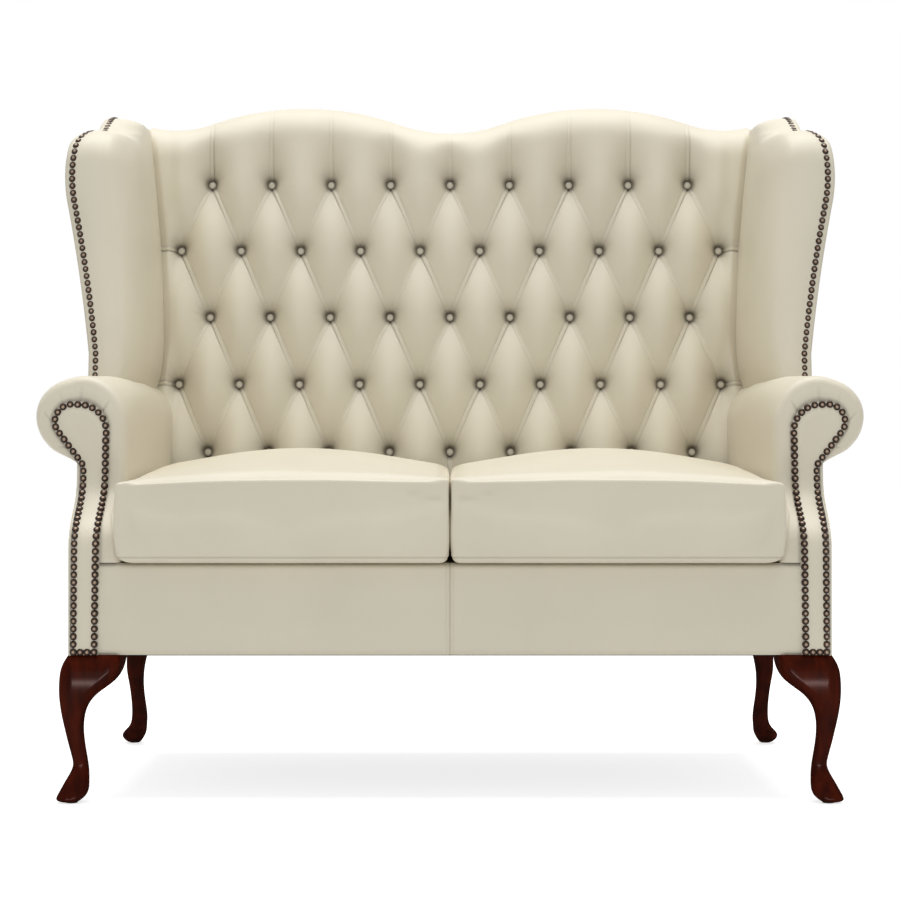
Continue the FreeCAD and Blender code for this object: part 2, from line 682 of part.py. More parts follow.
# Loose cushions: lofts through sections with bowed sides and a crowned top
def cushion_solid(d):
    mid_x = (CUSHION_GAP + CUSHION_OUT) / 2
    depth = CUSHION_REAR - CUSHION_FRONT
    wires = []
    for k in (0.0, 0.03, 0.15, 0.35, 0.55, 0.75, 0.93, 1.0):
        y = CUSHION_FRONT + d + (depth - 2 * d) * k
        swell = math.sin(math.pi * min(1.0, max(0.0, k)))
        half_w = (CUSHION_OUT - CUSHION_GAP) / 2 - 3.0 - d + 1.2 * swell
        edge_z = CUSHION_EDGE_Z - d + 20.0 * swell
        crown = 5.0 + 21.0 * swell
        low = CUSHION_Z + d
        mid_z = (low + edge_z) / 2
        steps = [(mid_x + half_w, low), (mid_x + half_w + 1.7, mid_z, mid_x + half_w, edge_z)]
        steps += [(mid_x, edge_z + crown, mid_x - half_w, edge_z), (mid_x - half_w - 1.7, mid_z, mid_x - half_w, low)]
        wires.append(Part.Wire(path(front(y), (mid_x - half_w, low), steps)))
    return Part.makeLoft(wires, True, False)


cushion_cover = cushion_solid(0.0).cut(cushion_solid(3.0))
both("cushion_cover", cushion_cover)
both("cushion_core", cushion_solid(3.4))

# Front cabriole legs: outward and inward reach from the body corner at each height, and corner roundness
FOOT_Z = 2.0
GLIDE_R = 9.0
FRONT_LEG = [
    (224.0, -1.0, 80.5, 0.16), (214.0, -7.0, 79.5, 0.18), (203.0, -11.5, 77.5, 0.21), (187.0, -14.3, 70.0, 0.27),
    (175.5, -14.8, 58.0, 0.32), (164.0, -14.4, 42.5, 0.37), (148.5, -12.8, 30.0, 0.42), (131.0, -10.0, 24.5, 0.46),
    (111.5, -6.0, 23.0, 0.48), (88.5, -1.0, 24.5, 0.48), (67.0, 4.0, 27.3, 0.48), (56.0, 5.2, 28.7, 0.47),
    (44.0, 1.2, 29.8, 0.45), (31.0, -6.0, 30.2, 0.43), (17.0, -13.4, 29.0, 0.42), (8.0, -17.2, 23.5, 0.42),
    (FOOT_Z, -10.0, 15.0, 0.44),
]
# Rear legs: height, centre across, centre back, width, depth, corner roundness
REAR_LEG = [
    (224.0, 549.0, 566.0, 60.0, 58.0, 0.12), (200.0, 551.0, 566.5, 48.0, 50.0, 0.16), (169.0, 553.5, 569.0, 33.0, 42.0, 0.22),
    (146.0, 556.5, 574.0, 29.0, 37.0, 0.28), (120.0, 556.7, 584.0, 24.0, 33.0, 0.32), (84.0, 556.0, 606.0, 23.0, 32.0, 0.36),
    (53.5, 557.7, 632.0, 26.0, 35.0, 0.38), (34.0, 563.5, 652.0, 31.0, 38.0, 0.40), (17.0, 573.0, 671.0, 40.0, 42.0, 0.40),
    (7.0, 575.0, 680.0, 32.0, 36.0, 0.42), (FOOT_Z, 574.0, 683.0, 23.0, 27.0, 0.42),
]


def rounded(z, x0, x1, y0, y1, k):
    r = k * min(x1 - x0, y1 - y0)
    h = r * (1 - math.sqrt(0.5))
    steps = [
        (x1 - r, y0), (x1 - h, y0 + h, x1, y0 + r), (x1, y1 - r), (x1 - h, y1 - h, x1 - r, y1),
        (x0 + r, y1), (x0 + h, y1 - h, x0, y1 - r), (x0, y0 + r), (x0 + h, y0 + h, x0 + r, y0),
    ]
    return Part.Wire(path(plan(z), (x0 + r, y0), steps))


front_wires = [rounded(z, OUTER_X - b, OUTER_X - a, a, b, k) for z, a, b, k in FRONT_LEG]
front_leg = drilled(Part.makeLoft(front_wires, True, False), bolts)
rear_wires = [rounded(z, x - w / 2, x + w / 2, y - d / 2, y + d / 2, k) for z, x, y, w, d, k in REAR_LEG]
rear_leg = drilled(Part.makeLoft(rear_wires, True, False), bolts)
parts["front_right_leg"] = front_leg
parts["front_left_leg"] = mirrored(front_leg)
parts["rear_right_leg"] = rear_leg
parts["rear_left_leg"] = mirrored(rear_leg)
pads = [rod_z(0.0, FOOT_Z, OUTER_X - 5.0, 5.0, GLIDE_R), rod_z(0.0, FOOT_Z, 574.0, 684.0, GLIDE_R)]
parts["glides"] = Part.makeCompound(pads + [mirrored(p) for p in pads])
under = [(494.0, 8.0), (494.0, 86.0), (566.0, 86.0), (566.0, 532.0), (514.0, 532.0), (514.0, 582.0)]
under += [(-a, b) for a, b in reversed(under)]
parts["dust_cover"] = prism_z(under[0], under[1:], BODY_Z - 1.5, BODY_Z)

# Nail trim
nail = dome(NAIL_R, NAIL_H)


def nailed(points, normals, closed):
    # Nails at an even pitch along a line of close points.
    total = [0.0]
    for a, b in zip(points, points[1:]):
        total.append(total[-1] + (b - a).Length)
    count = round(total[-1] / NAIL_PITCH)
    made = []
    k = 0
    for i in range(count + (0 if closed else 1)):
        want = total[-1] * i / count
        while k < len(points) - 2 and total[k + 1] < want:
            k += 1
        share = (want - total[k]) / (total[k + 1] - total[k])
        copy = nail.copy()
        copy.Placement = FreeCAD.Placement(V(0, 0, 0), FreeCAD.Rotation(V(0, 0, 1), normals[k]))
        copy.translate(points[k] + (points[k + 1] - points[k]) * share + normals[k] * 0.05)
        made.append(copy)
    return made


line = outline(front(0.0), FACING_START, FACING_STEPS).makeOffset2D(-NAIL_R - 0.3)
flat = Part.Wire(Part.sortEdges(line.Edges)[0]).discretize(900)
lifted = []
normals = []
for p in flat:
    y, slope = sweep_depth(p.z)
    lifted.append(V(p.x, y - FACING_OUT, p.z))
    normals.append(V(0, -1, slope).normalize())
arm_nails = nailed(lifted, normals, True)
parts["arm_nails"] = Part.makeCompound(arm_nails + [mirrored(n) for n in arm_nails])

profile = Part.Wire(path(side(0.0), wing_foot(0.0, 662.0), wing_top_steps(0.0) + [(590.0, WING_TOP_Z)])).discretize(700)
outer_line = Part.Wire(path(front(0.0), (591.0, 600.0), wing_outer_steps(0.0))).discretize(600)
lifted = []
normals = []
for a, b in zip(profile, profile[1:]):
    x = min(outer_line, key=lambda p: abs(p.z - a.z)).x
    lifted.append(V(x - WING_NAIL_IN, a.y, a.z))
    normals.append(V(0, a.z - b.z, b.y - a.y).normalize())
wing_nails = nailed(lifted, normals, False)
parts["wing_nails"] = Part.makeCompound(wing_nails + [mirrored(n) for n in wing_nails])

os.makedirs("parts", exist_ok=True)
whole = FreeCAD.BoundBox()
for name, shape in sorted(parts.items()):
    shape.translate(V(0, -DEPTH_MID, 0))
    solids = shape.Solids
    good = all(s.isValid() and s.isClosed() and s.Volume > 0 for s in solids)
    whole.add(shape.BoundBox)
    print(name, len(solids), "ok" if good else "BAD", round(shape.Volume / 1000.0, 1))
    shape.exportStep("parts/" + name + ".step")
print(len(parts), whole)
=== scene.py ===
import bpy
import json
import math
import numpy as np
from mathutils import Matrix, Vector
from mathutils.geometry import delaunay_2d_cdt


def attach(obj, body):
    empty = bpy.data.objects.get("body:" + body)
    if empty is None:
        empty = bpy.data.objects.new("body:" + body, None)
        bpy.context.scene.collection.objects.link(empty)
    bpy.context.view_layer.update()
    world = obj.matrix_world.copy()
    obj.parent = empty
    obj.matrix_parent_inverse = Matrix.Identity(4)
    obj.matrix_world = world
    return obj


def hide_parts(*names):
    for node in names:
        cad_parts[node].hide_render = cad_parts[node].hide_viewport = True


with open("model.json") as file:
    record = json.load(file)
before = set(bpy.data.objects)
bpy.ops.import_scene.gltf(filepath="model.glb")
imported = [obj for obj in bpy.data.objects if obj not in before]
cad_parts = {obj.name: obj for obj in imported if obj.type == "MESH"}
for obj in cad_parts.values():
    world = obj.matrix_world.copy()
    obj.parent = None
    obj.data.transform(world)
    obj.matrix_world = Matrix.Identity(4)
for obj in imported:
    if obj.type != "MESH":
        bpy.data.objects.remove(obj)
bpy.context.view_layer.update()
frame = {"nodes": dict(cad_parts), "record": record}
scene = bpy.context.scene
rng = np.random.default_rng(7)

# Sizes in millimetres, in the frame of the part: X across, depth T back from the front border, Z up
MM = 0.001
MID = 360.7
BODY_Z = 224.0
SEAT_Z = 364.0

# Raked back: U across, V up the plane of the buttons, W forward from it
RAKE = math.radians(9.0)
BUTTON_T = 482.3
PANEL_REAR = -118.0
ROW_Z = (1005.0, 886.0, 767.0, 648.0, 529.0)
ROW_COUNTS = (9, 10)
PITCH = 106.0
HALF = PITCH / 2
SHORT_END = 4 * PITCH
LONG_END = SHORT_END + HALF
BACK_BOTTOM = 139.5
CROWN = 33.0
CREST_R = 38.0
CREST_RISE = 66.0
CREST_W = 24.0
CREST_REACH = 108.0
TUCK_DOWN, TUCK_FORWARD = 15.0, 12.0

# Crest line: a dip in the middle, a hump on each side of it and a hollow by each wing
DIP_Z, DIP_R = 1099.9, 264.0
HUMP_X, HUMP_Z, HUMP_R = 260.0, 645.5, 500.0
HOLLOW_X, HOLLOW_Z, HOLLOW_R = 490.0, 1286.5, 181.0
DIP_END, HUMP_END, CREST_END = 90.0, 429.0, 560.0

# Forward sweep of the arm fronts below the scroll
SWEEP_DEPTH, SWEEP_RISE, SWEEP_LOW = 80.0, 85.0, 397.0
SWEEP_ANGLE = math.radians(55.0)
SWEEP_SOFT = 22.0


def smooth(x, a, b):
    t = np.clip((x - a) / (b - a), 0.0, 1.0)
    return t * t * (3 - 2 * t)


def bell(x, width, power=2):
    return np.exp(-(x / width) ** power)


def link(data, name):
    obj = bpy.data.objects.new(name, data)
    scene.collection.objects.link(obj)
    return obj


def make(name, points, faces, crease_shade=0.0, mirror=False):
    # A smooth mesh from points in millimetres, with the painted shade at each point, which darkens its
    # colour.
    p = np.array(points, float).reshape(-1, 3)
    p[:, 1] -= MID
    p *= MM
    if mirror:
        p[:, 0] *= -1
        faces = faces[:, ::-1]
    mesh = bpy.data.meshes.new(name)
    mesh.from_pydata(p.tolist(), [], faces if isinstance(faces, list) else faces.tolist())
    field = mesh.attributes.new("crease_shade", "FLOAT", "POINT")
    field.data.foreach_set("value", (np.zeros(len(p)) + np.ravel(crease_shade)).astype(np.float32))
    mesh.polygons.foreach_set("use_smooth", np.ones(len(mesh.polygons), bool))
    mesh.update()
    return link(mesh, name)


def grid_faces(rows, cols, wrap=False):
    i, j = np.meshgrid(np.arange(rows - 1), np.arange(cols if wrap else cols - 1), indexing="ij")
    k = (j + 1) % cols
    corners = (i * cols + j, i * cols + k, (i + 1) * cols + k, (i + 1) * cols + j)
    return np.stack(corners, -1).reshape(-1, 4)


def welded(points, faces, digits):
    # Points of several pieces that lie in one place become one.
    points = np.concatenate(points)
    key = np.round(points, digits)
    _, first, back = np.unique(key, axis=0, return_index=True, return_inverse=True)
    return points[first], back.reshape(-1)[np.concatenate(faces)]


def length_along(points):
    return np.concatenate([[0], np.cumsum(np.linalg.norm(np.diff(points, axis=0), axis=1))])


def read_at(line, d, s):
    return np.stack([np.interp(s, d, line[:, k]) for k in range(line.shape[1])], -1)


def evenly(points, count):
    # A count of points with even spacing along a line.
    d = length_along(points)
    return read_at(points, d, np.linspace(0, d[-1], count))


def resample(points, step):
    return evenly(points, round(length_along(points)[-1] / step) + 1)


def closed(points, step):
    # Even points round a closed line, without its first point again at the end.
    return resample(np.vstack([points, points[:1]]), step)[:-1]


def spaced(points, normals, pitch):
    # Places and normals along a line at an even pitch.
    d = length_along(points)
    s = np.linspace(0, d[-1], round(d[-1] / pitch) + 1)
    return read_at(points, d, s), read_at(normals, d, s)


def arc(centre, r, a0, a1, n=24):
    a = np.radians(np.linspace(a0, a1, n))
    return np.stack([centre[0] + r * np.cos(a), centre[1] + r * np.sin(a)], -1)


def three_arc(p, q, r, n=24):
    # Points along the arc from p through q to r.
    (ax, ay), (bx, by), (cx, cy) = p, q, r
    d = 2 * (ax * (by - cy) + bx * (cy - ay) + cx * (ay - by))
    aa, bb, cc = ax ** 2 + ay ** 2, bx ** 2 + by ** 2, cx ** 2 + cy ** 2
    ux = (aa * (by - cy) + bb * (cy - ay) + cc * (ay - by)) / d
    uy = (aa * (cx - bx) + bb * (ax - cx) + cc * (bx - ax)) / d
    t = np.unwrap([math.atan2(y - uy, x - ux) for x, y in (p, q, r)])
    return arc((ux, uy), math.hypot(ax - ux, ay - uy), math.degrees(t[0]), math.degrees(t[2]), n)


def back_t(z, w):
    return BUTTON_T + (z - BODY_Z) * math.tan(RAKE) - w / math.cos(RAKE)


def back_xyz(u, v, w):
    t = BUTTON_T + v * math.sin(RAKE) - w * math.cos(RAKE)
    return np.stack([u, t, BODY_Z + v * math.cos(RAKE) + w * math.sin(RAKE)], -1)


def swept(z):
    # Depth of the arm front at height z, and its slope, on the bare frame: two arcs and a straight between.
    bend = 1 - math.cos(SWEEP_ANGLE)
    r = (SWEEP_RISE * math.sin(SWEEP_ANGLE) - SWEEP_DEPTH * math.cos(SWEEP_ANGLE)) / (2 * bend)
    h = r * math.sin(SWEEP_ANGLE)
    high = SWEEP_LOW + SWEEP_RISE
    up = np.clip(z - SWEEP_LOW, 0.0, h)
    down = np.clip(high - z, 0.0, h)
    mid = np.clip(z - SWEEP_LOW - h, 0.0, SWEEP_RISE - 2 * h)
    depth = r - np.sqrt(r * r - up * up) + mid * math.tan(SWEEP_ANGLE)
    depth = depth + r * bend - (r - np.sqrt(r * r - down * down))
    slope = np.where(z < SWEEP_LOW + h, up, np.where(z > high - h, down, h))
    return depth, slope / np.sqrt(r * r - slope * slope)


def sweep(z):
    # The padding rounds the two bends of the frame.
    near = [swept(np.asarray(z, float) + step) for step in np.linspace(-SWEEP_SOFT, SWEEP_SOFT, 12)]
    return np.mean([depth for depth, slope in near], 0), np.mean([slope for depth, slope in near], 0)


def crest_z(x):
    a = np.minimum(np.abs(np.asarray(x, float)), CREST_END)
    dip = DIP_Z + DIP_R - np.sqrt(np.maximum(DIP_R ** 2 - np.minimum(a, DIP_END) ** 2, 0))
    along = np.clip(a, DIP_END, HUMP_END) - HUMP_X
    hump = HUMP_Z + np.sqrt(np.maximum(HUMP_R ** 2 - along ** 2, 0))
    along = np.maximum(a, HUMP_END) - HOLLOW_X
    hollow = HOLLOW_Z - np.sqrt(np.maximum(HOLLOW_R ** 2 - along ** 2, 0))
    return np.where(a < DIP_END, dip, np.where(a < HUMP_END, hump, hollow))


# Materials
MOTTLE_SCALE = 7.0
MOTTLE_RANGE = (0.3, 0.7)
WRINKLE_DEPTH = 0.004
GRAIN_DEPTH = 0.0006
# Sockets of a mix node when it mixes colours
MIX_FACTOR, MIX_A, MIX_B, MIX_RESULT = 0, 6, 7, 2
looks = {}


def material(name):
    m = bpy.data.materials.new(name)
    m.use_nodes = True
    m.node_tree.nodes.clear()
    return m, m.node_tree.nodes


def join(a, output, b, entry):
    a.id_data.links.new(a.outputs[output], b.inputs[entry])


def add(nodes, kind, **values):
    n = nodes.new(kind)
    for key, value in values.items():
        if key in n.inputs.keys():
            n.inputs[key].default_value = value
        else:
            setattr(n, key, value)
    return n


def shade(name, base, dark, rough, grain=(900.0, 0.10), wrinkle=(60.0, 0.05), mottle=0.05, metallic=0.0,
          stretch=(1.0, 1.0, 1.0), streak=0.0, gloss=0.0, specular=0.5):
    # A surface with two colours: the darker one shows where a mesh carries painted shade, and in its
    # mottling.
    # Grain and wrinkle are each a scale and a strength.
    m, nodes = material(name)
    out = add(nodes, "ShaderNodeOutputMaterial")
    shine = {"Roughness": rough, "Metallic": metallic, "Specular IOR Level": specular}
    bsdf = add(nodes, "ShaderNodeBsdfPrincipled", **shine)
    where = add(nodes, "ShaderNodeTexCoord")
    place = add(nodes, "ShaderNodeMapping", Scale=stretch)
    join(where, "Object", place, "Vector")
    broad = add(nodes, "ShaderNodeTexNoise", Scale=MOTTLE_SCALE, Detail=4.0)
    fine = add(nodes, "ShaderNodeTexNoise", Scale=wrinkle[0], Detail=5.0)
    cell = add(nodes, "ShaderNodeTexVoronoi", Scale=grain[0])
    for tex in (broad, fine, cell):
        join(place, "Vector", tex, "Vector")
    limits = {"From Min": MOTTLE_RANGE[0], "From Max": MOTTLE_RANGE[1], "To Max": mottle + streak}
    tone = add(nodes, "ShaderNodeMapRange", **limits)
    join(fine if streak else broad, "Fac", tone, "Value")
    # Painted shade read from the mesh, added to the mottling to pick the darker colour
    crease_shade = add(nodes, "ShaderNodeAttribute", attribute_name="crease_shade")
    total = add(nodes, "ShaderNodeMath", operation="ADD", use_clamp=True)
    join(tone, "Result", total, 0)
    join(crease_shade, "Fac", total, 1)
    mix = add(nodes, "ShaderNodeMix", data_type="RGBA")
    mix.inputs[MIX_A].default_value = (*base, 1.0)
    mix.inputs[MIX_B].default_value = (*dark, 1.0)
    join(total, 0, mix, MIX_FACTOR)
    join(mix, MIX_RESULT, bsdf, "Base Color")
    low = add(nodes, "ShaderNodeBump", Strength=wrinkle[1], Distance=WRINKLE_DEPTH)
    join(fine, "Fac", low, "Height")
    bump = add(nodes, "ShaderNodeBump", Strength=grain[1], Distance=GRAIN_DEPTH)
    join(cell, "Distance", bump, "Height")
    join(low, "Normal", bump, "Normal")
    join(bump, "Normal", bsdf, "Normal")
    join(bsdf, "BSDF", out, "Surface")
    if gloss:
        both = add(nodes, "ShaderNodeAddShader")
        polish = add(nodes, "ShaderNodeBsdfGlossy", Color=(gloss, gloss, gloss, 1.0), Roughness=rough)
        join(bump, "Normal", polish, "Normal")
        join(bsdf, "BSDF", both, 0)
        join(polish, "BSDF", both, 1)
        join(both, 0, out, "Surface")
    looks[name] = m


# Each look has the name of its material slot, apart from the cloth of the seat platform.
shade("cream_leather", (0.69, 0.635, 0.505), (0.10, 0.08, 0.055), 0.46)
shade("button_leather", (0.60, 0.55, 0.44), (0.045, 0.035, 0.025), 0.42)
shade("mahogany", (0.066, 0.0070, 0.0010), (0.016, 0.0016, 0.0003), 0.20,
      grain=(400.0, 0.0), wrinkle=(14.0, 0.02), mottle=0.15,
      stretch=(5.0, 5.0, 0.7), streak=0.75, gloss=0.0032, specular=0.0)
shade("antique_brass", (0.37, 0.275, 0.19), (0.026, 0.012, 0.007), 0.36,
      metallic=0.6, grain=(1500.0, 0.1), wrinkle=(300.0, 0.1), mottle=0.2)
shade("foam", (0.78, 0.71, 0.52), (0.55, 0.48, 0.33), 0.95, grain=(700.0, 0.3), mottle=0.2)
shade("frame_hardwood", (0.48, 0.31, 0.16), (0.25, 0.14, 0.06), 0.6,
      wrinkle=(20.0, 0.1), mottle=0.1, stretch=(1.0, 6.0, 6.0), streak=0.5)
shade("plywood", (0.56, 0.40, 0.23), (0.35, 0.22, 0.11), 0.6,
      wrinkle=(20.0, 0.1), mottle=0.1, stretch=(6.0, 1.0, 6.0), streak=0.5)
shade("lining_board", (0.19, 0.10, 0.05), (0.09, 0.045, 0.02), 0.7,
      grain=(600.0, 0.1), mottle=0.4)
shade("spring_steel", (0.42, 0.42, 0.43), (0.18, 0.18, 0.18), 0.32,
      metallic=1.0, grain=(900.0, 0.05), mottle=0.3)
shade("hessian", (0.36, 0.25, 0.13), (0.16, 0.10, 0.05), 0.9, grain=(350.0, 0.5), mottle=0.4)
shade("dust_cloth", (0.014, 0.014, 0.015), (0.004, 0.004, 0.004), 0.85,
      grain=(500.0, 0.4), mottle=0.4)
shade("glide_plastic", (0.020, 0.014, 0.011), (0.010, 0.008, 0.006), 0.35, mottle=0.3)
shade("deck_cloth", (0.58, 0.52, 0.39), (0.30, 0.26, 0.18), 0.85,
      grain=(450.0, 0.4), mottle=0.15)

SHARP_ANGLE = math.radians(50.0)
slot_of = {s["node"]: s["material_slot"] for s in frame["record"]["subparts"]}
for name, node in frame["nodes"].items():
    node.data.materials.clear()
    node.data.materials.append(looks[slot_of[name]])
    if slot_of[name] in ("mahogany", "glide_plastic"):
        node.data.shade_smooth()
        node.data.set_sharp_from_angle(angle=SHARP_ANGLE)


def dress(obj, slot, nodes=(), body="frame", look=None):
    obj.data.materials.append(looks[look or slot])
    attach(obj, body)
    if nodes:
        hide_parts(*nodes)


# Wings: where the inside meets the buttoned back, as height and distance from the middle
WING_ROOT = ((560.0, 540.0), (620.0, 522.0), (646.0, 510.0), (690.0, 503.0), (725.0, 502.0),
             (800.0, 505.0), (900.0, 512.0), (1000.0, 522.0), (1060.0, 530.0), (1112.0, 538.0))
ROOT_SOFT = 30.0
# How far the leather of the back goes on behind the wing
BEHIND_WING = 7.0


def wing_inner(z):
    heights, places = np.array(WING_ROOT).T
    steps = np.linspace(-ROOT_SOFT, ROOT_SOFT, 5)
    return np.mean([np.interp(z + step, heights, places) for step in steps], axis=0)


def side_u(v):
    return wing_inner(BODY_Z + np.asarray(v, float) * math.cos(RAKE)) + BEHIND_WING


def top_v(u):
    return (crest_z(u) - BODY_Z - (CREST_W - CREST_R) * math.sin(RAKE)) / math.cos(RAKE)


# Buttoned back
ROW_V = [(z - BODY_Z) / math.cos(RAKE) for z in ROW_Z]
ROW_D = ROW_V[0] - ROW_V[1]
buttons = []
for row, v in enumerate(ROW_V):
    count = ROW_COUNTS[row % 2]
    buttons += [((j - (count - 1) / 2) * PITCH, v) for j in range(count)]
buttons = np.array(buttons)

# A pleat runs from one point to another, with its strength and 1 if it stays as strong to its end.
pleats = []
for a in buttons:
    for b in buttons:
        if abs(a[1] - b[1] - ROW_D) < 1 and abs(abs(a[0] - b[0]) - HALF) < 1:
            pleats.append((a, b, 1.0 if abs(b[0]) < abs(a[0]) else 0.45, 0.0))
for u, v in buttons[:ROW_COUNTS[0]]:
    pleats.append(((u, v), (u, float(top_v(u)) + 20.0), 0.35 + 0.55 * (abs(u) / SHORT_END) ** 2, 0.0))
for u, v in buttons[-ROW_COUNTS[0]:]:
    pleats.append(((u, v), (u, BACK_BOTTOM), 0.6, 0.0))
for u, v in buttons:
    if abs(u) > SHORT_END + 1:
        pleats.append(((u, v), (math.copysign(float(side_u(v)) + 30.0, u), v), 1.1, 1.0))

# A pleat's flap lies between two edges, the far one deeper and with more painted shade
PLEAT_REACH = 14.0
NEAR_AT, NEAR_DEEP, NEAR_DARK = -3.4, 1.6, 0.16
FAR_AT, FAR_DEEP, FAR_DARK = 3.2, 2.4, 0.34
# What a pleat that stays strong adds to the depth and painted shade of its near edge
EVEN_DEEP, EVEN_DARK = 0.8, 0.18
FLAP_RISE = 1.5
# Pull of a button, the puckers round it, the painted shade in its pit and the painted shade above it
PULL, PULL_R = 9.0, 13.0
PUCKER, PUCKER_AT, PUCKER_WIDTH, PUCKERS = 0.7, 19.0, 8.0, 11
RIM_DARK, RIM_R = 0.86, 11.5
SHADE_DARK, SHADE_R = 0.40, 23.0
DARKEST = 0.92
# Beyond the buttons the diamonds fade: over which distance, how far, and to which height
TOP_FADE, TOP_FLAT, TOP_W = 95.0, 0.86, 0.97 * CROWN
HEM_FADE, HEM_FLAT, HEM_W = 120.0, 0.8, 12.0
SIDE_FADE, SIDE_FLAT, SIDE_W = 23.0, 0.6, 0.8 * CROWN
# Tuck of the leather beside the wing, and the painted shade in it
EDGE_TUCK, EDGE_DARK = 5.0, 0.10


def cushioned(u, v):
    # Height of the padded diamonds above the button plane, fading to plain leather at the edges.
    m = (ROW_V[0] - np.clip(v, ROW_V[-1], ROW_V[0])) / ROW_D
    n = np.clip(u, -LONG_END, LONG_END) / HALF
    sa = np.abs(np.sin(np.pi * (m + n) / 2))
    sb = np.abs(np.sin(np.pi * (m - n) / 2))
    soft = (sa ** 2 + sb ** 2) / 2
    full = 1 - ((1 - sa) ** 1.8 + (1 - sb) ** 1.8) / 2
    w = CROWN * (0.5 * soft + 0.5 * full)
    w = w + (TOP_W - w) * TOP_FLAT * smooth(v - ROW_V[0], 0.0, TOP_FADE)
    w = w + (HEM_W - w) * HEM_FLAT * smooth(ROW_V[-1] - v, 0.0, HEM_FADE)
    return w + (SIDE_W - w) * SIDE_FLAT * smooth(np.abs(u) - LONG_END, 0.0, SIDE_FADE)


def nearest_button(u, v):
    # Distance from the nearest button and the direction from it.
    reach = np.full(u.shape, 1e9)
    turn = np.zeros(u.shape)
    for bu, bv in buttons:
        d = np.hypot(u - bu, v - bv)
        closer = d < reach
        reach = np.where(closer, d, reach)
        turn = np.where(closer, np.arctan2(v - bv, u - bu), turn)
    return reach, turn


def tuft(u, v):
    # Height of the leather above the button plane, and the painted shade in its folds, round the buttons and
    # beside the wings.
    edge = side_u(v) - np.abs(u)
    w = cushioned(u, v) - EDGE_TUCK * (1 - smooth(edge, 5.0, 20.0))
    dark = EDGE_DARK * (1 - smooth(edge, 6.0, 13.0))
    reach, turn = nearest_button(u, v)
    above = np.clip(np.sin(turn), 0, 1)
    w = w - PULL * bell(reach, PULL_R)
    w = w + PUCKER * bell(reach - PUCKER_AT, PUCKER_WIDTH) * np.cos(PUCKERS * turn) * (0.4 + 0.6 * above)
    # Painted shade in the pit round each button, stronger on its upper side where the pillow above shades it
    dark = dark + RIM_DARK * bell(reach, RIM_R, 4)
    dark = dark + SHADE_DARK * bell(reach, SHADE_R) * (0.30 + 0.70 * above)
    for a, b, strength, even in pleats:
        length = math.hypot(b[0] - a[0], b[1] - a[1])
        dx, dv = (b[0] - a[0]) / length, (b[1] - a[1]) / length
        along = (u - a[0]) * dx + (v - a[1]) * dv
        across = (u - a[0]) * dv - (v - a[1]) * dx
        near = (along > -2.0) & (along < length + 2.0) & (np.abs(across) < PLEAT_REACH)
        s = across[near] * (1 if dx >= 0 else -1)
        fade = strength * (1 - 0.75 * (1 - even) * smooth(along[near], 0.15 * length, length))
        flap = FLAP_RISE * smooth(s, NEAR_AT, -2.4) * (1 - smooth(s, 2.2, 3.0))
        near_deep = (NEAR_DEEP + EVEN_DEEP * even) * bell(s - NEAR_AT, 1.1)
        near_dark = (NEAR_DARK + EVEN_DARK * even) * bell(s - NEAR_AT, 0.9)
        w[near] += fade * (flap - near_deep - FAR_DEEP * bell(s - FAR_AT, 1.2))
        dark[near] += fade * (near_dark + FAR_DARK * bell(s - FAR_AT, 1.0))
    return w, np.clip(dark, 0.0, DARKEST)


def quad_points(quad, p, q):
    # Points of a four-sided cell with corners in order round it.
    a, b, c, d = [np.array(x, float) for x in quad]
    p = p[None, :, None]
    q = q[:, None, None]
    return a * (1 - p) * (1 - q) + b * p * (1 - q) + c * p * q + d * (1 - p) * q


def back_cells():
    # Four-sided cells whose sides run along the pleats: corners, and how their points are spread.
    over = CREST_RISE * (math.pi / 2 - 1) + CREST_REACH
    rows = [[b for b in buttons if abs(b[1] - v) < 1] for v in ROW_V]
    close = (1 - np.cos(np.pi * np.linspace(0, 1, 41))) / 2
    even = np.linspace(0, 1, 85)
    cells = []
    for r in (0, 1, 2):
        for u, v in rows[r]:
            if abs(u) < SHORT_END + 1:
                quad = ((u, v), (u + HALF, ROW_V[r + 1]), (u, ROW_V[r + 2]), (u - HALF, ROW_V[r + 1]))
                cells.append((quad, close, close))
    # From the rows next to the top and bottom ones, cells go on over the crest and down to the hem.
    for row, near in ((rows[1], 0), (rows[3], 4)):
        corner = float(side_u(float(top_v(540.0)))) + 16.0 if near == 0 else float(side_u(BACK_BOTTOM))
        for u, v in row:
            for s in (-1, 1):
                n = u + s * HALF
                inside = abs(n) < SHORT_END + 1
                low = (n, ROW_V[near]) if inside else (s * float(side_u(v)), v)
                end = n if inside else s * corner
                far = [float(top_v(x)) + over if near == 0 else BACK_BOTTOM for x in (end, u)]
                quad = ((u, v), low, (end, far[0]), (u, far[1]))
                cells.append((quad, close, even if near == 0 else close))
    # Beside the middle row, two cells on each side reach the wing.
    for s in (-1, 1):
        first = (s * SHORT_END, ROW_V[2])
        last = (s * float(side_u(ROW_V[2])), ROW_V[2])
        for r in (1, 3):
            quad = (first, (s * LONG_END, ROW_V[r]), (s * float(side_u(ROW_V[r])), ROW_V[r]), last)
            cells.append((quad, close, close))
    return cells


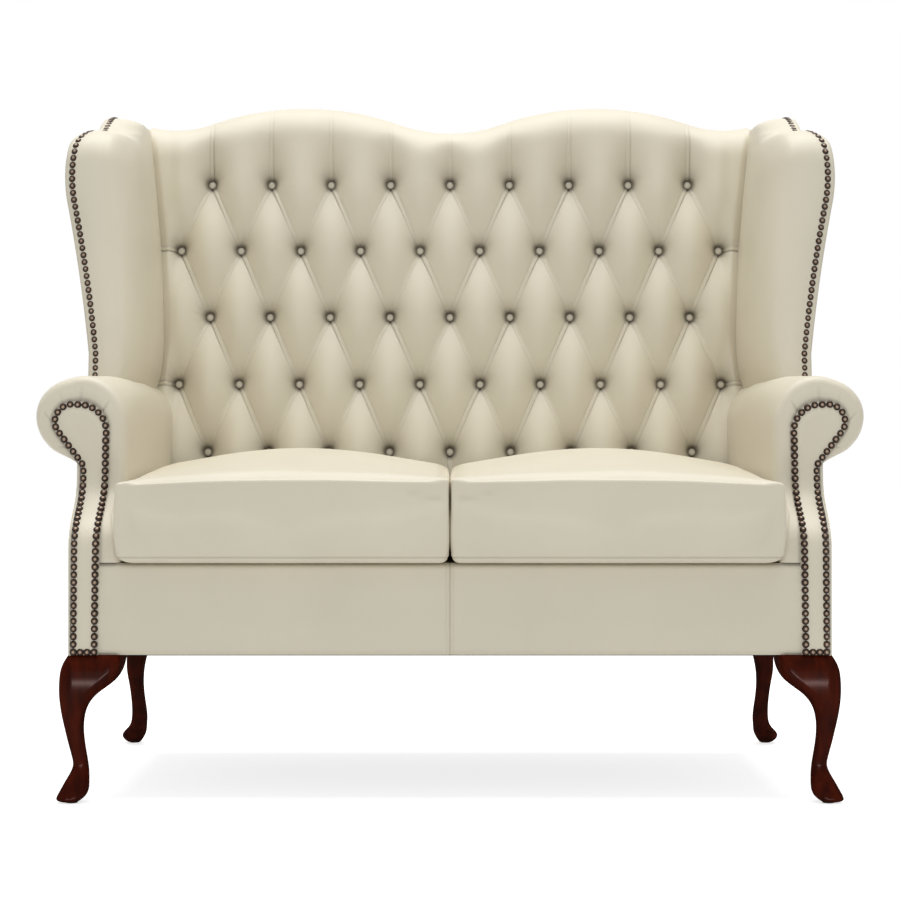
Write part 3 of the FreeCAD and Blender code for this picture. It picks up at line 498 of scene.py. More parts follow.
def back_points():
    flat = []
    faces = []
    start = 0
    for quad, p, q in back_cells():
        pts = quad_points(quad, p, q).reshape(-1, 2)
        f = grid_faces(len(q), len(p)) + start
        (ax, ay), (bx, by), (cx, cy) = quad[:3]
        if (bx - ax) * (cy - ay) - (by - ay) * (cx - ax) < 0:
            f = f[:, ::-1]
        flat.append(pts)
        faces.append(f)
        start += len(pts)
    flat, faces = welded(flat, faces, 3)
    u, v = flat[:, 0], flat[:, 1]
    w, dark = tuft(u, v)
    # Over the crest the leather turns back and then runs a little way down behind.
    begin = top_v(u) - CREST_RISE
    angle = np.clip((v - begin) / CREST_RISE, 0.0, None)
    turned = np.minimum(angle, math.pi / 2)
    beyond = np.maximum(angle - math.pi / 2, 0.0) * CREST_RISE
    lift = (w - CREST_W) * (1 - smooth(angle, 0.2, 1.5))
    rise = (CREST_RISE + lift) * np.sin(turned) - lift * np.sin(turned) * np.cos(turned)
    vv = np.where(angle > 0, begin + rise - 0.06 * beyond, v)
    ww = np.where(angle > 0, CREST_W - CREST_R + (CREST_R + lift) * np.cos(turned) - beyond, w)
    # By the wings its end is tucked down and forward.
    tuck = smooth(np.abs(u), 531.0, 547.0) * smooth(angle, 0.5, 1.3)
    return back_xyz(u, vv - TUCK_DOWN * tuck, ww + TUCK_FORWARD * tuck), faces, dark


tufted = make("tufted_back", *back_points())
dress(tufted, "cream_leather", ("tufted_back_cover", "back_foam", "crest_pad"))


def dome_rings(radius, height, rings, sides, skirt):
    # A low dome with a short skirt under its rim; crown is 1 at the top and 0 at the rim.
    a = np.linspace(0.0, math.pi / 2, rings)
    r = np.concatenate([[radius * 0.96], radius * np.cos(a[:-1])])
    h = np.concatenate([[-skirt], height * np.sin(a[:-1])])
    t = np.linspace(0, 2 * math.pi, sides, endpoint=False)
    across = r[:, None]
    p = np.stack([across * np.cos(t), across * np.sin(t), np.repeat(h[:, None], sides, 1)], -1)
    p = np.vstack([p.reshape(-1, 3), [0, 0, height]])
    f = grid_faces(len(r), sides, True).tolist()
    base = (len(r) - 1) * sides
    f += [[base + k, base + (k + 1) % sides, len(p) - 1] for k in range(sides)]
    return p, f, np.clip(p[:, 2] / height, 0.0, 1.0)


def place_all(name, shape, dark, places, normals, jitter=0.0):
    # One mesh of equal domes, each set on its place and facing along its normal.
    pts, faces, _ = shape
    all_p, all_f = [], []
    for k, (o, n) in enumerate(zip(places, normals)):
        n = n / np.linalg.norm(n)
        x = np.cross([1.0, 0.0, 0.0] if abs(n[0]) < 0.9 else [0.0, 1.0, 0.0], n)
        x /= np.linalg.norm(x)
        y = np.cross(n, x)
        size = 1 + jitter * rng.uniform(-1, 1)
        all_p.append(o + size * (pts[:, :1] * x + pts[:, 1:2] * y + pts[:, 2:] * n))
        all_f += [[i + k * len(pts) for i in f] for f in faces]
    return make(name, np.vstack(all_p), all_f, np.tile(dark, len(places)))


BUTTON_SINK = -5.0
button = dome_rings(radius=8.6, height=5.2, rings=8, sides=24, skirt=6.0)
# Painted shade round the rim of each button, where it sits in its pit
button_rim_shade = 0.85 * (1 - smooth(button[2], 0.55, 0.9))
button_at = back_xyz(buttons[:, 0], buttons[:, 1], np.full(len(buttons), BUTTON_SINK))
forward = np.array([0.0, -math.cos(RAKE), math.sin(RAKE)])
studs = place_all("tuft_buttons_leather", button, button_rim_shade, button_at, [forward] * len(buttons))
dress(studs, "button_leather", ("tuft_buttons",))

# Wings: the shoulder and the top of the edge seen from the side, and the edge seen from the front
SHOULDER_T, SHOULDER_Z, SHOULDER_R = 345.0, 1062.0, 64.0
TOP_T, TOP_Z = 506.0, 1108.0
WING_FOOT_Z = 560.0
WING_SLOPE = math.tan(math.radians(8.0))
wing_edge = np.vstack([[[586.5, 500.0], [586.5, 690.0]],
                       three_arc((586.5, 690.0), (605.5, 824.0), (628.0, 943.0)),
                       three_arc((628.0, 943.0), (632.0, 986.0), (629.0, 1025.0)),
                       three_arc((629.0, 1025.0), (620.5, 1051.0), (598.0, 1068.0)),
                       [[598.0, 1068.0], [594.0, 1125.0]]])
wing_edge = wing_edge[np.argsort(wing_edge[:, 1], kind="stable")]


def wing_outer(z):
    return np.interp(z, wing_edge[:, 1], wing_edge[:, 0])


def wing_profile():
    # The wing's edge seen from the side, from inside the arm up over the shoulder to the back.
    turn = 2 * math.atan((TOP_Z - SHOULDER_Z) / (TOP_T - SHOULDER_T))
    r = (TOP_T - SHOULDER_T) / 2 / math.sin(turn)
    deg = math.degrees(turn)
    shoulder = arc((SHOULDER_T, SHOULDER_Z - SHOULDER_R), SHOULDER_R, 172.0, 90.0)
    rise = arc((SHOULDER_T, SHOULDER_Z + r), r, -90.0, -90.0 + deg)
    crest = arc((TOP_T, TOP_Z - r), r, 90.0 + deg, 90.0)
    foot = shoulder[0] - (shoulder[0][1] - WING_FOOT_Z) * np.array([WING_SLOPE, 1.0])
    end = np.array([[float(back_t(TOP_Z, PANEL_REAR)) - 0.5, TOP_Z]])
    return resample(np.vstack([foot[None], shoulder, rise[1:], crest[1:], end]), 6.0)


profile = wing_profile()
tangent = np.gradient(profile, axis=0)
tangent /= np.linalg.norm(tangent, axis=1)[:, None]
outward = np.stack([-tangent[:, 1], tangent[:, 0]], -1)

# Where the inside face ends behind the crest, how far below the top, and where the top starts to go behind
WING_NOTCH = (634.0, 1046.0)
ROOF_DROP = 62.0
ROOF_START, ROOF_END = 594.0, 632.0
ROOF_DEEP = 3.0
WING_EDGE_R = 5.0
# The line that the inside face runs to: heights at its foot, bend and end
SPINE_Z, SPINE_BEND, SPINE_W = (575.0, 1090.0, 1106.0), 0.62, 4.0
# Depth of the rounded nose and swell of the padded front, below and at the top
NOSE_DEEP, NOSE_DEEP_TOP = 130.0, 70.0
FRONT_PUFF, FRONT_PUFF_TOP = 5.0, 1.5
# Share of the width that is flat: below, its loss over the shoulder, its gain to the rear, and the most
FLAT, FLAT_LOSS, FLAT_GAIN, FLAT_MOST = 0.56, 0.44, 0.80, 0.9
# Points across each station of the wing
CORNER_N, FRONT_N, NOSE_N, INSIDE_N = 5, 26, 11, 34


def wing_points():
    # Across each station: outer corner, padded front, rounded nose, then the inside face to the back.
    count = len(profile)
    spine_z = np.interp(np.arange(count), [0, SPINE_BEND * count, count - 1], SPINE_Z)
    spine = np.stack([back_t(spine_z, SPINE_W), spine_z], -1)
    root = spine + (np.array([WING_NOTCH]) - spine) * smooth(spine_z, 1020.0, 1085.0)[:, None]
    rear = np.minimum(profile[:, 0], float(back_t(WING_NOTCH[1], PANEL_REAR)) - 2.5)
    root[:, 0] = np.where(profile[:, 0] > WING_NOTCH[0], rear, root[:, 0])
    behind = smooth(profile[:, 0], ROOF_START, ROOF_END)
    spine = spine + (profile - [0.0, ROOF_DROP] - spine) * behind[:, None]
    inside = np.linspace(0.03, 1.0, INSIDE_N)
    # Painted shade along the rounded outer corner and where the inside face meets the back
    shadow = [0.25, 0.2, 0.1, 0.05, 0.0] + [0.0] * (FRONT_N + NOSE_N) + list(0.12 * smooth(inside, 0.80, 1.0))
    rows = []
    for k, (p, n) in enumerate(zip(profile, outward)):
        edge = float(wing_outer(p[1])) - WING_EDGE_R
        wide = edge - float(wing_inner(p[1]))
        top = float(smooth(p[0], 330.0, 480.0))
        flat = FLAT - FLAT_LOSS * top + FLAT_GAIN * float(smooth(p[0], 545.0, 660.0))
        flat = min(FLAT_MOST, flat) * wide
        nose = wide - flat
        reach = float(np.linalg.norm(p - spine[k]))
        deep = min(NOSE_DEEP + (NOSE_DEEP_TOP - NOSE_DEEP) * top, 0.7 * reach)
        deep = deep + (ROOF_DEEP - deep) * float(behind[k])
        puff = FRONT_PUFF + (FRONT_PUFF_TOP - FRONT_PUFF) * float(smooth(p[0], 300.0, 400.0))
        row = []
        for a in np.radians(np.linspace(0, 90, CORNER_N)):
            q = p - n * (WING_EDGE_R * (1 - math.sin(a)))
            row.append((float(wing_outer(q[1])) - WING_EDGE_R * (1 - math.cos(a)), *q))
        for s in np.linspace(0.04, 1.0, FRONT_N):
            row.append((edge - flat * s, *(p + n * (puff * math.sin(math.pi * s * 0.9)))))
        bulge = puff * math.sin(math.pi * 0.9)
        for a in np.radians(np.linspace(8, 90, NOSE_N)):
            q = p + (spine[k] - p) * (deep * (1 - math.cos(a)) / reach) + n * (bulge * math.cos(a))
            row.append((float(wing_inner(q[1])) + nose * (1 - math.sin(a)), *q))
        last = np.array(row[-1][1:])
        for s in inside:
            q = last + (root[k] - last) * s
            row.append((float(wing_inner(q[1])) - 2.0 * math.sin(math.pi * s), *q))
        rows.append(row)
    return np.array(rows), grid_faces(count, len(shadow)), np.tile(shadow, (count, 1))


def outside_wing_points():
    rows = []
    rising = profile[:, 0] < TOP_T
    for p, n in zip(profile[rising], outward[rising]):
        start = p - n * 4.0
        far = np.array([float(back_t(start[1], PANEL_REAR)), start[1]])
        row = []
        for s in np.linspace(0.0, 1.0, 30):
            q = start + (far - start) * s
            row.append((float(wing_outer(q[1])) + 3.5 * math.sin(math.pi * s) - 0.4, *q))
        rows.append(row)
    return np.array(rows), grid_faces(len(rows), len(row))[:, ::-1], 0.0


wing = wing_points()
panel = outside_wing_points()

# Nails along the wing edge
NAIL_PITCH = 11.7
NAIL_INSET = 13.0
nail = dome_rings(radius=5.7, height=3.6, rings=7, sides=18, skirt=1.0)
# Painted shade darkens each nail head all but its top, which stays pale as a painted highlight
nail_shade_and_glint = 0.95 * (1 - smooth(nail[2], 0.89, 1.0))


def wing_nails():
    keep = (profile[:, 1] > 640.0) & (profile[:, 0] < 600.0)
    line, facing = profile[keep], outward[keep]
    line = line + facing * (1.0 - 1.7 * smooth(line[:, 0], 330.0, 420.0))[:, None]
    places = np.stack([wing_outer(line[:, 1]) - NAIL_INSET, line[:, 0], line[:, 1]], -1)
    normals = np.stack([np.full(len(line), 0.12), facing[:, 0], facing[:, 1]], -1)
    return spaced(places, normals, NAIL_PITCH)


# Arms: section from the foot of the inside wall over the roll to the foot of the outside
ROLL = (580.0, 587.0)
ROLL_R = 64.0
ROUND_Z, ROUND_R = 568.5, 82.5
WALL_X = ROLL[0] - ROUND_R
NECK = (579.0, 516.0)
ROLL_LOW_Z = 520.0

# Outline of the facing inside the nails, from the seat up over the scroll and down the outside
FACE_SEAT = (531.3, SEAT_Z)
FACE_RISE = (527.5, 556.0)
FACE_TOP = (579.0, 610.5)
FACE_TIP = (614.0, 563.5)
FACE_SLANT = (592.0, 533.9)
FACE_WAIST = (573.5, 509.0)
FACE_FOOT = (576.0, 223.0)
FACE_INNER_FOOT = (533.0, 223.0)
face_lines = [np.array([FACE_SEAT, FACE_RISE]),
              three_arc(FACE_RISE, (543.0, 599.0), FACE_TOP, 40),
              three_arc(FACE_TOP, (612.5, 596.0), FACE_TIP, 40),
              np.array([FACE_TIP, FACE_SLANT]),
              np.array([FACE_SLANT, FACE_WAIST]),
              np.array([FACE_WAIST, FACE_FOOT])]

# Points on each stretch of the section, and on the stretch of the facing that it is gathered to
STRETCH_POINTS = (56, 34, 30, 22, 10, 70)
# Gathers on the scroll: angle round the roll and strength
GATHERS = ((99.0, 1.0), (150.0, 0.8), (60.0, 0.25), (18.0, 1.0), (-50.0, 1.0))
GATHER_WIDTH = 1.6
GATHER_R = 60.0
FRONT_R = 15.0
# The gathered leather goes on a little way under the facing.
UNDER_FACING = 1.12
# Points along each line of the arm's leather
LENGTH_N, TURN_N, GATHER_N = 30, 8, 16


def joined(lines):
    # One line from several that meet end to end.
    stretches = [evenly(line, count) for line, count in zip(lines, STRETCH_POINTS)]
    return np.vstack(stretches[:1] + [p[1:] for p in stretches[1:]])


def arm_section():
    lower = arc(ROLL, ROLL_R, 0.0, -60.3, 24)
    line = joined([np.array([[WALL_X, SEAT_Z], [WALL_X, ROUND_Z]]),
                   arc((ROLL[0], ROUND_Z), ROUND_R, 180.0, 90.0, 40),
                   arc(ROLL, ROLL_R, 90.0, 0.0, 40),
                   lower,
                   np.array([lower[-1], NECK]),
                   np.array([NECK, (NECK[0], BODY_Z)])])
    # The top of the roll falls a little towards the outside.
    high = np.clip((line[:, 1] - ROLL[1]) / ROLL_R, 0.0, 1.0)
    line[:, 1] -= 5.0 * smooth(line[:, 0], 552.0, 604.0) * high
    return line


def arm_lean(t):
    # How far the inside of the arm stands in from its mean line, at depth t.
    return -8.5 + 23.0 * np.clip(t / 480.0, 0.0, 1.0)


def gathered(o):
    # Strength of the gathers at a point of the section.
    if o[1] <= ROLL_LOW_Z:
        return 0.0
    angle = math.degrees(math.atan2(o[1] - ROLL[1], o[0] - ROLL[0]))
    away = [(math.radians(angle - at) * GATHER_R, strength) for at, strength in GATHERS]
    return sum(strength * math.exp(-(d / GATHER_WIDTH) ** 2) for d, strength in away)


def arm_lines():
    # Along the arm from the rear, round the front edge, and in over the scroll to the facing.
    rows, dark = [], []
    for o, f in zip(arm_section(), joined(face_lines)):
        gap = float(np.linalg.norm(f - o))
        r = min(FRONT_R, 0.5 * gap)
        depth = float(sweep(o[1])[0])
        rear = float(back_t(o[1], PANEL_REAR + 2))
        scroll = float(smooth(o[1], ROLL_LOW_Z, 545.0))
        fold = gathered(o)
        row = [(o[0], rear + (depth + r - rear) * s, o[1]) for s in np.linspace(0, 1, LENGTH_N)]
        for b in np.radians(np.linspace(12, 90, TURN_N)):
            q = o + (f - o) * (r * (1 - math.cos(b)) / gap)
            row.append((q[0], depth + r - r * math.sin(b), q[1]))
        shadow = [0.0] * len(row)
        start = r / gap
        for s in np.linspace(0.06, 1.0, GATHER_N):
            m = start + (UNDER_FACING - start) * s
            q = o + (f - o) * m
            t = float(sweep(q[1])[0]) - 1.6 * math.sin(math.pi * s) * scroll
            row.append((q[0], t + 2.0 * fold * s, q[1]))
            # Painted shade in the gathers and where the leather goes in under the facing
            shadow.append(0.34 * fold * smooth(s, -0.3, 0.6) + 0.3 * float(smooth(m, 0.82, 0.98)))
        rows.append(row)
        dark.append(shadow)
    return np.array(rows), np.array(dark, float)


def arm_points():
    p, dark = arm_lines()
    # Behind the front the round of the inside shoulder becomes squarer.
    depth = p[..., 1]
    high = (p[..., 0] < ROLL[0]) & (p[..., 2] > ROUND_Z)
    power = 2.0 / (2.0 + 1.2 * smooth(depth, 40.0, 260.0) * (1 - 0.65 * smooth(depth, 330.0, 480.0)))
    for k, start, way in ((0, ROLL[0], -1.0), (2, ROUND_Z, 1.0)):
        c = np.clip((p[..., k] - start) * way / ROUND_R, 0.0, 1.0)
        p[..., k] = np.where(high, start + way * ROUND_R * c ** power, p[..., k])
    # The inside wall leans in towards the rear, and the top rises a little.
    share = np.clip((ROLL[0] - p[..., 0]) / ROUND_R, 0.0, 1.0) ** 0.8
    p[..., 0] -= arm_lean(depth) * share * smooth(depth, -1.0, 40.0)
    inner = 1 - smooth(p[..., 0], 570.0, 618.0)
    p[..., 2] += 4.5 * smooth(depth, 20.0, 330.0) * smooth(p[..., 2], 560.0, 640.0) * inner
    return p, grid_faces(*p.shape[:2])[:, ::-1], dark


def filled(loop, step):
    # Triangles that fill a closed line, with points inside it, and each point's distance from the line.
    lo, hi = loop.min(0), loop.max(0)
    gx, gz = np.meshgrid(np.arange(lo[0] + step / 2, hi[0], step), np.arange(lo[1] + step / 2, hi[1], step))
    pts = np.stack([gx.ravel(), gz.ravel()], -1)
    nxt = np.roll(loop, -1, 0)
    crossing = np.zeros(len(pts), int)
    for a, b in zip(loop, nxt):
        if abs(b[1] - a[1]) < 1e-9:
            continue
        hit = (pts[:, 1] >= min(a[1], b[1])) & (pts[:, 1] < max(a[1], b[1]))
        x = a[0] + (pts[:, 1] - a[1]) * (b[0] - a[0]) / (b[1] - a[1])
        crossing += hit & (x > pts[:, 0])
    pts = pts[crossing % 2 == 1]
    near = np.full(len(pts), 1e9)
    for a, b in zip(loop, nxt):
        ab = b - a
        s = np.clip(((pts - a) @ ab) / (ab @ ab), 0, 1)
        near = np.minimum(near, np.linalg.norm(pts - a - s[:, None] * ab, axis=1))
    good = near > step * 0.35
    pts, near = pts[good], near[good]
    n = len(loop)
    v = [Vector(p) for p in np.vstack([loop, pts])]
    done = delaunay_2d_cdt(v, [(k, (k + 1) % n) for k in range(n)], [list(range(n))], 1, 1e-6)
    xy = np.array([tuple(p) for p in done[0]])
    source = [s[0] if s else -1 for s in done[3]]
    away = np.array([0.0 if s < n else near[s - n] for s in source])
    return xy, np.array(done[2]), away


def at_depth(xy, t):
    return np.stack([xy[:, 0], t, xy[:, 1]], -1)


def arm_end():
    # The rear end of the roll.
    ring = arm[0][:, 0][:, [0, 2]]
    xy, faces, away = filled(closed(ring[ring[:, 1] > 508.0], 5.0), 9.0)
    t = back_t(xy[:, 1], PANEL_REAR + 2.0) + 3.0 * smooth(away, 0.0, 14.0)
    # Painted shade round the rim of the end
    return at_depth(xy, t), faces[:, ::-1], 0.2 * (1 - smooth(away, 0.0, 5.0))


def facing():
    xy, faces, away = filled(facing_line, 4.5)
    rim = 6.0 * (1 - smooth(away, -1.0, 4.0))
    t = sweep(xy[:, 1])[0] - 4.0 + rim - 3.0 * smooth(away, 5.0, 17.0)
    # Painted shade round the edge of the facing, by the nails
    return at_depth(xy, t), faces, 0.30 * (1 - smooth(away, 2.0, 12.0))


arm = arm_points()
face_loop = [[FACE_INNER_FOOT, FACE_SEAT], face_lines[1]] + [line[1:] for line in face_lines[2:]]
facing_line = closed(np.vstack(face_loop), 3.0)

# Nails round the facing
FOOT_NAIL_Z = 229.0
FOOT_NAILS = 2
FACING_NAIL_INSET = 5.8
FACING_NAIL_OUT = 4.2


def inset(loop, distance):
    d = np.roll(loop, -1, 0) - np.roll(loop, 1, 0)
    d /= np.linalg.norm(d, axis=1)[:, None]
    n = np.stack([-d[:, 1], d[:, 0]], -1)
    middle = loop + n * distance
    return middle if np.ptp(middle[:, 0]) < np.ptp(loop[:, 0]) else loop - n * distance


def on_facing(line):
    depth, slope = sweep(line[:, 1])
    normals = np.stack([np.zeros(len(slope)), -np.ones(len(slope)), slope], -1)
    return at_depth(line, depth - FACING_NAIL_OUT), normals


def arm_nails():
    # Up one side, over the scroll and down the other, then a short row across the foot.
    loop = inset(facing_line, FACING_NAIL_INSET)
    loop = loop[loop[:, 1] > FOOT_NAIL_Z + 0.5]
    turn = int(np.argmax(np.linalg.norm(np.roll(loop, -1, 0) - loop, axis=1)))
    loop = np.roll(loop, -turn - 1, 0)
    ends = [[loop[k][0], FOOT_NAIL_Z] for k in (0, -1)]
    round_at, round_n = spaced(*on_facing(np.vstack([ends[:1], loop, ends[1:]])), NAIL_PITCH)
    foot_at, foot_n = on_facing(np.linspace(ends[0], ends[1], FOOT_NAILS + 2)[1:-1])
    return np.vstack([round_at, foot_at]), np.vstack([round_n, foot_n])


def nail_heads(name, places, normals):
    flip = np.array([-1.0, 1.0, 1.0])
    both = [np.vstack([rows, rows * flip]) for rows in (places, normals)]
    return place_all(name, nail, nail_shade_and_glint, *both, 0.04)


# Name, shape, the nodes that it replaces and its fill
leathers = (("_wing", wing, ("_wing_pad",), 0.7),
            ("_outside_wing", panel, ("_outside_wing",), None),
            ("_arm", arm, ("_arm_cover", "_arm_pad", "_outside_arm"), 0.7),
            ("_arm_end", arm_end(), (), None),
            ("_facing", facing(), ("_arm_facing",), None))
for side in ("right", "left"):
    for name, shape, replaced, fill in leathers:
        piece = make(side + name + "_leather", *shape, side == "left")
        dress(piece, "cream_leather", [side + node for node in replaced])
dress(nail_heads("arm_nail_heads", *arm_nails()), "antique_brass", ("arm_nails",))
dress(nail_heads("wing_nail_heads", *wing_nails()), "antique_brass", ("wing_nails",))

# Front border with its middle seam
BORDER_X = 540.0
SEAM_WIDTH = 1.3
STITCH_X = 5.5


def border():
    half = np.linspace(8, BORDER_X, 120)
    x = np.concatenate([-half[::-1], np.linspace(-7, 7, 29), half])
    low = BODY_Z + np.array([0.0, 0.6, 2.0, 5.0])
    high = SEAT_Z - np.array([4.0, 1.7, 0.7])
    z = np.concatenate([low, np.linspace(BODY_Z + 9, SEAT_Z - 7, 32), high])
    xx, zz = np.meshgrid(x, z)
    edge = np.minimum(zz - BODY_Z, SEAT_Z - zz)
    tuck = 5.0 * (1 - smooth(edge, 0.0, 7.0))
    puff = 2.6 * smooth(edge, 0.0, 50.0)
    seam = bell(xx, SEAM_WIDTH)
    stitch = bell(np.abs(xx) - STITCH_X, 0.9)
    swell = bell(np.abs(xx) - 3.0, 2.0)
    tt = tuck - puff + 1.3 * seam + 0.5 * stitch - 0.6 * swell
    # Painted shade in the middle seam and its stitch lines, and a painted shadow under the cushions along the
    # top
    dark = 0.13 * seam + 0.06 * stitch + 0.35 * smooth(zz, SEAT_Z - 9.0, SEAT_Z)
    return np.stack([xx, tt, zz], -1), grid_faces(*xx.shape), dark


dress(make("front_border_leather", *border()), "cream_leather", ("front_border",))

# Seat platform under the cushions
PLATFORM_X = 510.0
PLATFORM_T = (2.0, 540.0)
PLATFORM_Z = 363.2
PLATFORM_EDGE = 12.0


def platform():
    x = np.linspace(-PLATFORM_X, PLATFORM_X, 100)
    xx, tt = np.meshgrid(x, np.linspace(*PLATFORM_T, 60))
    fore = 1 - smooth(tt, 0.0, PLATFORM_EDGE)
    rim = 1 - smooth(np.minimum(PLATFORM_X - np.abs(xx), PLATFORM_T[1] - tt), 0.0, PLATFORM_EDGE)
    return np.stack([xx, tt, PLATFORM_Z - 1.5 * fore - 2.0 * rim], -1), grid_faces(*xx.shape)


dress(make("seat_platform_cloth", *platform()), "foam", ("seat_deck_pad",), look="deck_cloth")

# Outside back
REAR_X = 579.3
REAR_TOP_X = 548.0
REAR_DROP, REAR_DROP_END = 21.0, 5.0
REAR_LOW_Z = 226.0
REAR_ARM_Z = 640.0


def outside_back():
    x = np.linspace(-REAR_TOP_X, REAR_TOP_X, 240)
    drop = REAR_DROP + (REAR_DROP_END - REAR_DROP) * smooth(np.abs(x), 500.0, 545.0)
    top = np.stack([x, crest_z(x) - drop], -1)
    z = np.linspace(660.0, TOP_Z - 3.0, 90)
    right = np.stack([wing_outer(z) + 0.3, z], -1)
    low = [[-REAR_X, REAR_LOW_Z], [REAR_X, REAR_LOW_Z], [REAR_X, REAR_ARM_Z]]
    loop = np.vstack([low, right, top[::-1], (right * [-1, 1])[::-1], [[-REAR_X, REAR_ARM_Z]]])
    xy, faces, away = filled(closed(loop, 7.0), 11.0)
    w = PANEL_REAR - 0.5 + 6.0 * (1 - smooth(away, -1.0, 9.0)) - 3.0 * smooth(away, 8.0, 120.0)
    # Painted shade round the edge of the panel
    return at_depth(xy, back_t(xy[:, 1], w)), faces[:, ::-1], 0.2 * (1 - smooth(away, 0.0, 5.0))


dress(make("outside_back_leather", *outside_back()), "cream_leather", ("outside_back",))

# Loose cushions: boxed, with crisp top edges, a crowned top and a seam round the foot
CUSHION_T = (-28.0, 478.0)
CUSHION_Z = 364.2
CUSHION_SIZE = np.array([500.0, CUSHION_T[1] - CUSHION_T[0], 124.0])
SEAM_Z = 373.0
EDGE_R, FOOT_R, FOOT_FADE = 4.5, 13.5, 45.0
FOOT_CORNER = 14.0
# Height of the front top edge at the ends, its rise to the middle, the rise to the rear and the crown
EDGE_Z, EDGE_RISE, REAR_RISE, CUSHION_CROWN = 483.0, 11.0, 22.0, 25.0
# How much lower the top lies at the rear where the cushions meet
VALLEY = 13.0
INNER_X, INNER_BULGE, INNER_LIMIT = 1.1, 1.6, 0.3
CUSHION_MIDDLE = np.array([249.0, 225.0])
CREASE_X, CREASE_Z = 12.0, 462.0


def cushion_outer(t):
    # The side by the arm follows the arm's inside wall, and stands out in front of it.
    return 495.3 - arm_lean(np.clip(t, 0.0, 480.0)) + 0.8 * (1 - smooth(t, -10.0, 30.0))


def cushion_box():
    # The six sides of a box of size 1, with points closer together by the edges.
    s = np.linspace(0, 1, 62)
    across = s - 0.10 * np.sin(2 * np.pi * s)
    low = [0.0, 1.5, 3.5, 5.5, 7.2, 8.6, 10.0, 12.0, 15.0]
    high = [110.0, 115.0, 118.5, 121.0, 122.6, 124.0]
    tall = np.concatenate([low, np.linspace(21.0, 103.0, 12), high]) / CUSHION_SIZE[2]
    axes = (across, across, tall)
    pts, faces, start = [], [], 0
    for a, b, c in ((0, 1, 2), (1, 2, 0), (2, 0, 1)):
        for end in (0, 1):
            p, q = np.meshgrid(axes[a], axes[b], indexing="ij")
            grid = np.zeros(p.shape + (3,))
            grid[..., a] = p
            grid[..., b] = q
            grid[..., c] = end
            f = grid_faces(*p.shape) + start
            faces.append(f[:, ::-1] if end else f)
            pts.append(grid.reshape(-1, 3))
            start += p.size
    return welded(pts, faces, 6)


def cushion_points():
    unit, faces = cushion_box()
    flat = unit * CUSHION_SIZE
    radius = (EDGE_R + (FOOT_R - EDGE_R) * (1 - smooth(flat[:, 2], 0.0, FOOT_FADE)))[:, None]
    core = np.clip(flat, radius * np.ones(3), CUSHION_SIZE - radius)
    off = flat - core
    length = np.linalg.norm(off, axis=1)[:, None]
    flat = core + off / np.maximum(length, 1e-9) * radius
    sx, st, sz = np.clip(flat / CUSHION_SIZE, 0.0, 1.0).T
    t = CUSHION_T[0] + flat[:, 1]
    side = np.sin(np.pi * sx)
    fore = np.sin(np.pi * st)
    inner = sx < 0.5
    rise = EDGE_RISE * np.where(inner, 0.65 + 0.35 * side ** 0.7, side ** 0.7)
    valley = VALLEY * np.where(inner, 1.0 - side ** 0.5, 0.0)
    edge = EDGE_Z + rise + (REAR_RISE - valley) * smooth(st, 0.0, 1.0)
    crown = CUSHION_CROWN * (fore ** 0.75) * side ** 1.2
    z = CUSHION_Z + sz * (edge - CUSHION_Z) + crown * smooth(sz, 0.35, 1.0)
    tuck = np.clip(FOOT_CORNER - flat[:, 2], 0.0, FOOT_CORNER)
    corner = FOOT_CORNER - np.sqrt(FOOT_CORNER ** 2 - tuck ** 2)
    swell = 3.0 * np.sin(np.pi * sz) * (1 - smooth(t, -14.0, 4.0))
    x = INNER_X + sx * (cushion_outer(t) + swell - corner - INNER_X)
    x = x - INNER_BULGE * fore * (1.0 - sx) ** 8 * smooth(sz, 0.05, 0.25)
    return np.stack([x, t, z], -1), faces


# Swelling of the cushions' leather: frames simulated, rounds of smoothing, limits for sides and top
SWELL_FRAMES = 20
SWELL_ROUNDS = 14
SIDE_LIMIT = np.array([0.7, 1.6, 0.3])
TOP_LIMIT = np.array([0.7, 1.0, 4.0])


def inflated(points, faces):
    # The leather swells under pressure from the filling; the limits keep it off its neighbours.
    mesh = bpy.data.meshes.new("swell")
    mesh.from_pydata((points * MM).tolist(), [], faces.tolist())
    obj = link(mesh, "swell")
    held = obj.vertex_groups.new(name="held")
    held.add(np.nonzero(points[:, 2] < CUSHION_Z + 3.0)[0].tolist(), 1.0, "REPLACE")
    cloth = obj.modifiers.new("swell", "CLOTH")
    s = cloth.settings
    s.quality = 6
    s.mass = 0.4
    s.tension_stiffness = 18.0
    s.compression_stiffness = 18.0
    s.shear_stiffness = 6.0
    s.bending_stiffness = 0.6
    s.use_pressure = True
    s.uniform_pressure_force = 4.0
    s.shrink_min = -0.012
    s.vertex_group_mass = "held"
    s.effector_weights.gravity = 0.0
    cloth.collision_settings.use_collision = False
    cloth.point_cache.frame_start = 1
    cloth.point_cache.frame_end = SWELL_FRAMES
    for k in range(1, SWELL_FRAMES + 1):
        scene.frame_set(k)
    shown = obj.evaluated_get(bpy.context.evaluated_depsgraph_get()).to_mesh()
    out = np.zeros(len(points) * 3, np.float32)
    shown.vertices.foreach_get("co", out)
    bpy.data.objects.remove(obj)
    scene.frame_set(1)
    move = out.reshape(-1, 3) / MM - points
    pairs = np.vstack([faces[:, [k, (k + 1) % 4]] for k in range(4)])
    pairs = np.vstack([pairs, pairs[:, ::-1]])
    share = np.bincount(pairs[:, 0], minlength=len(points))[:, None]
    for k in range(SWELL_ROUNDS):
        total = np.zeros_like(move)
        np.add.at(total, pairs[:, 0], move[pairs[:, 1]])
        move = 0.5 * move + 0.5 * total / share
    top = smooth(points[:, 2], 470.0, 500.0)[:, None]
    limit = SIDE_LIMIT * (1 - top) + TOP_LIMIT * top
    return points + limit * np.tanh(move / limit)


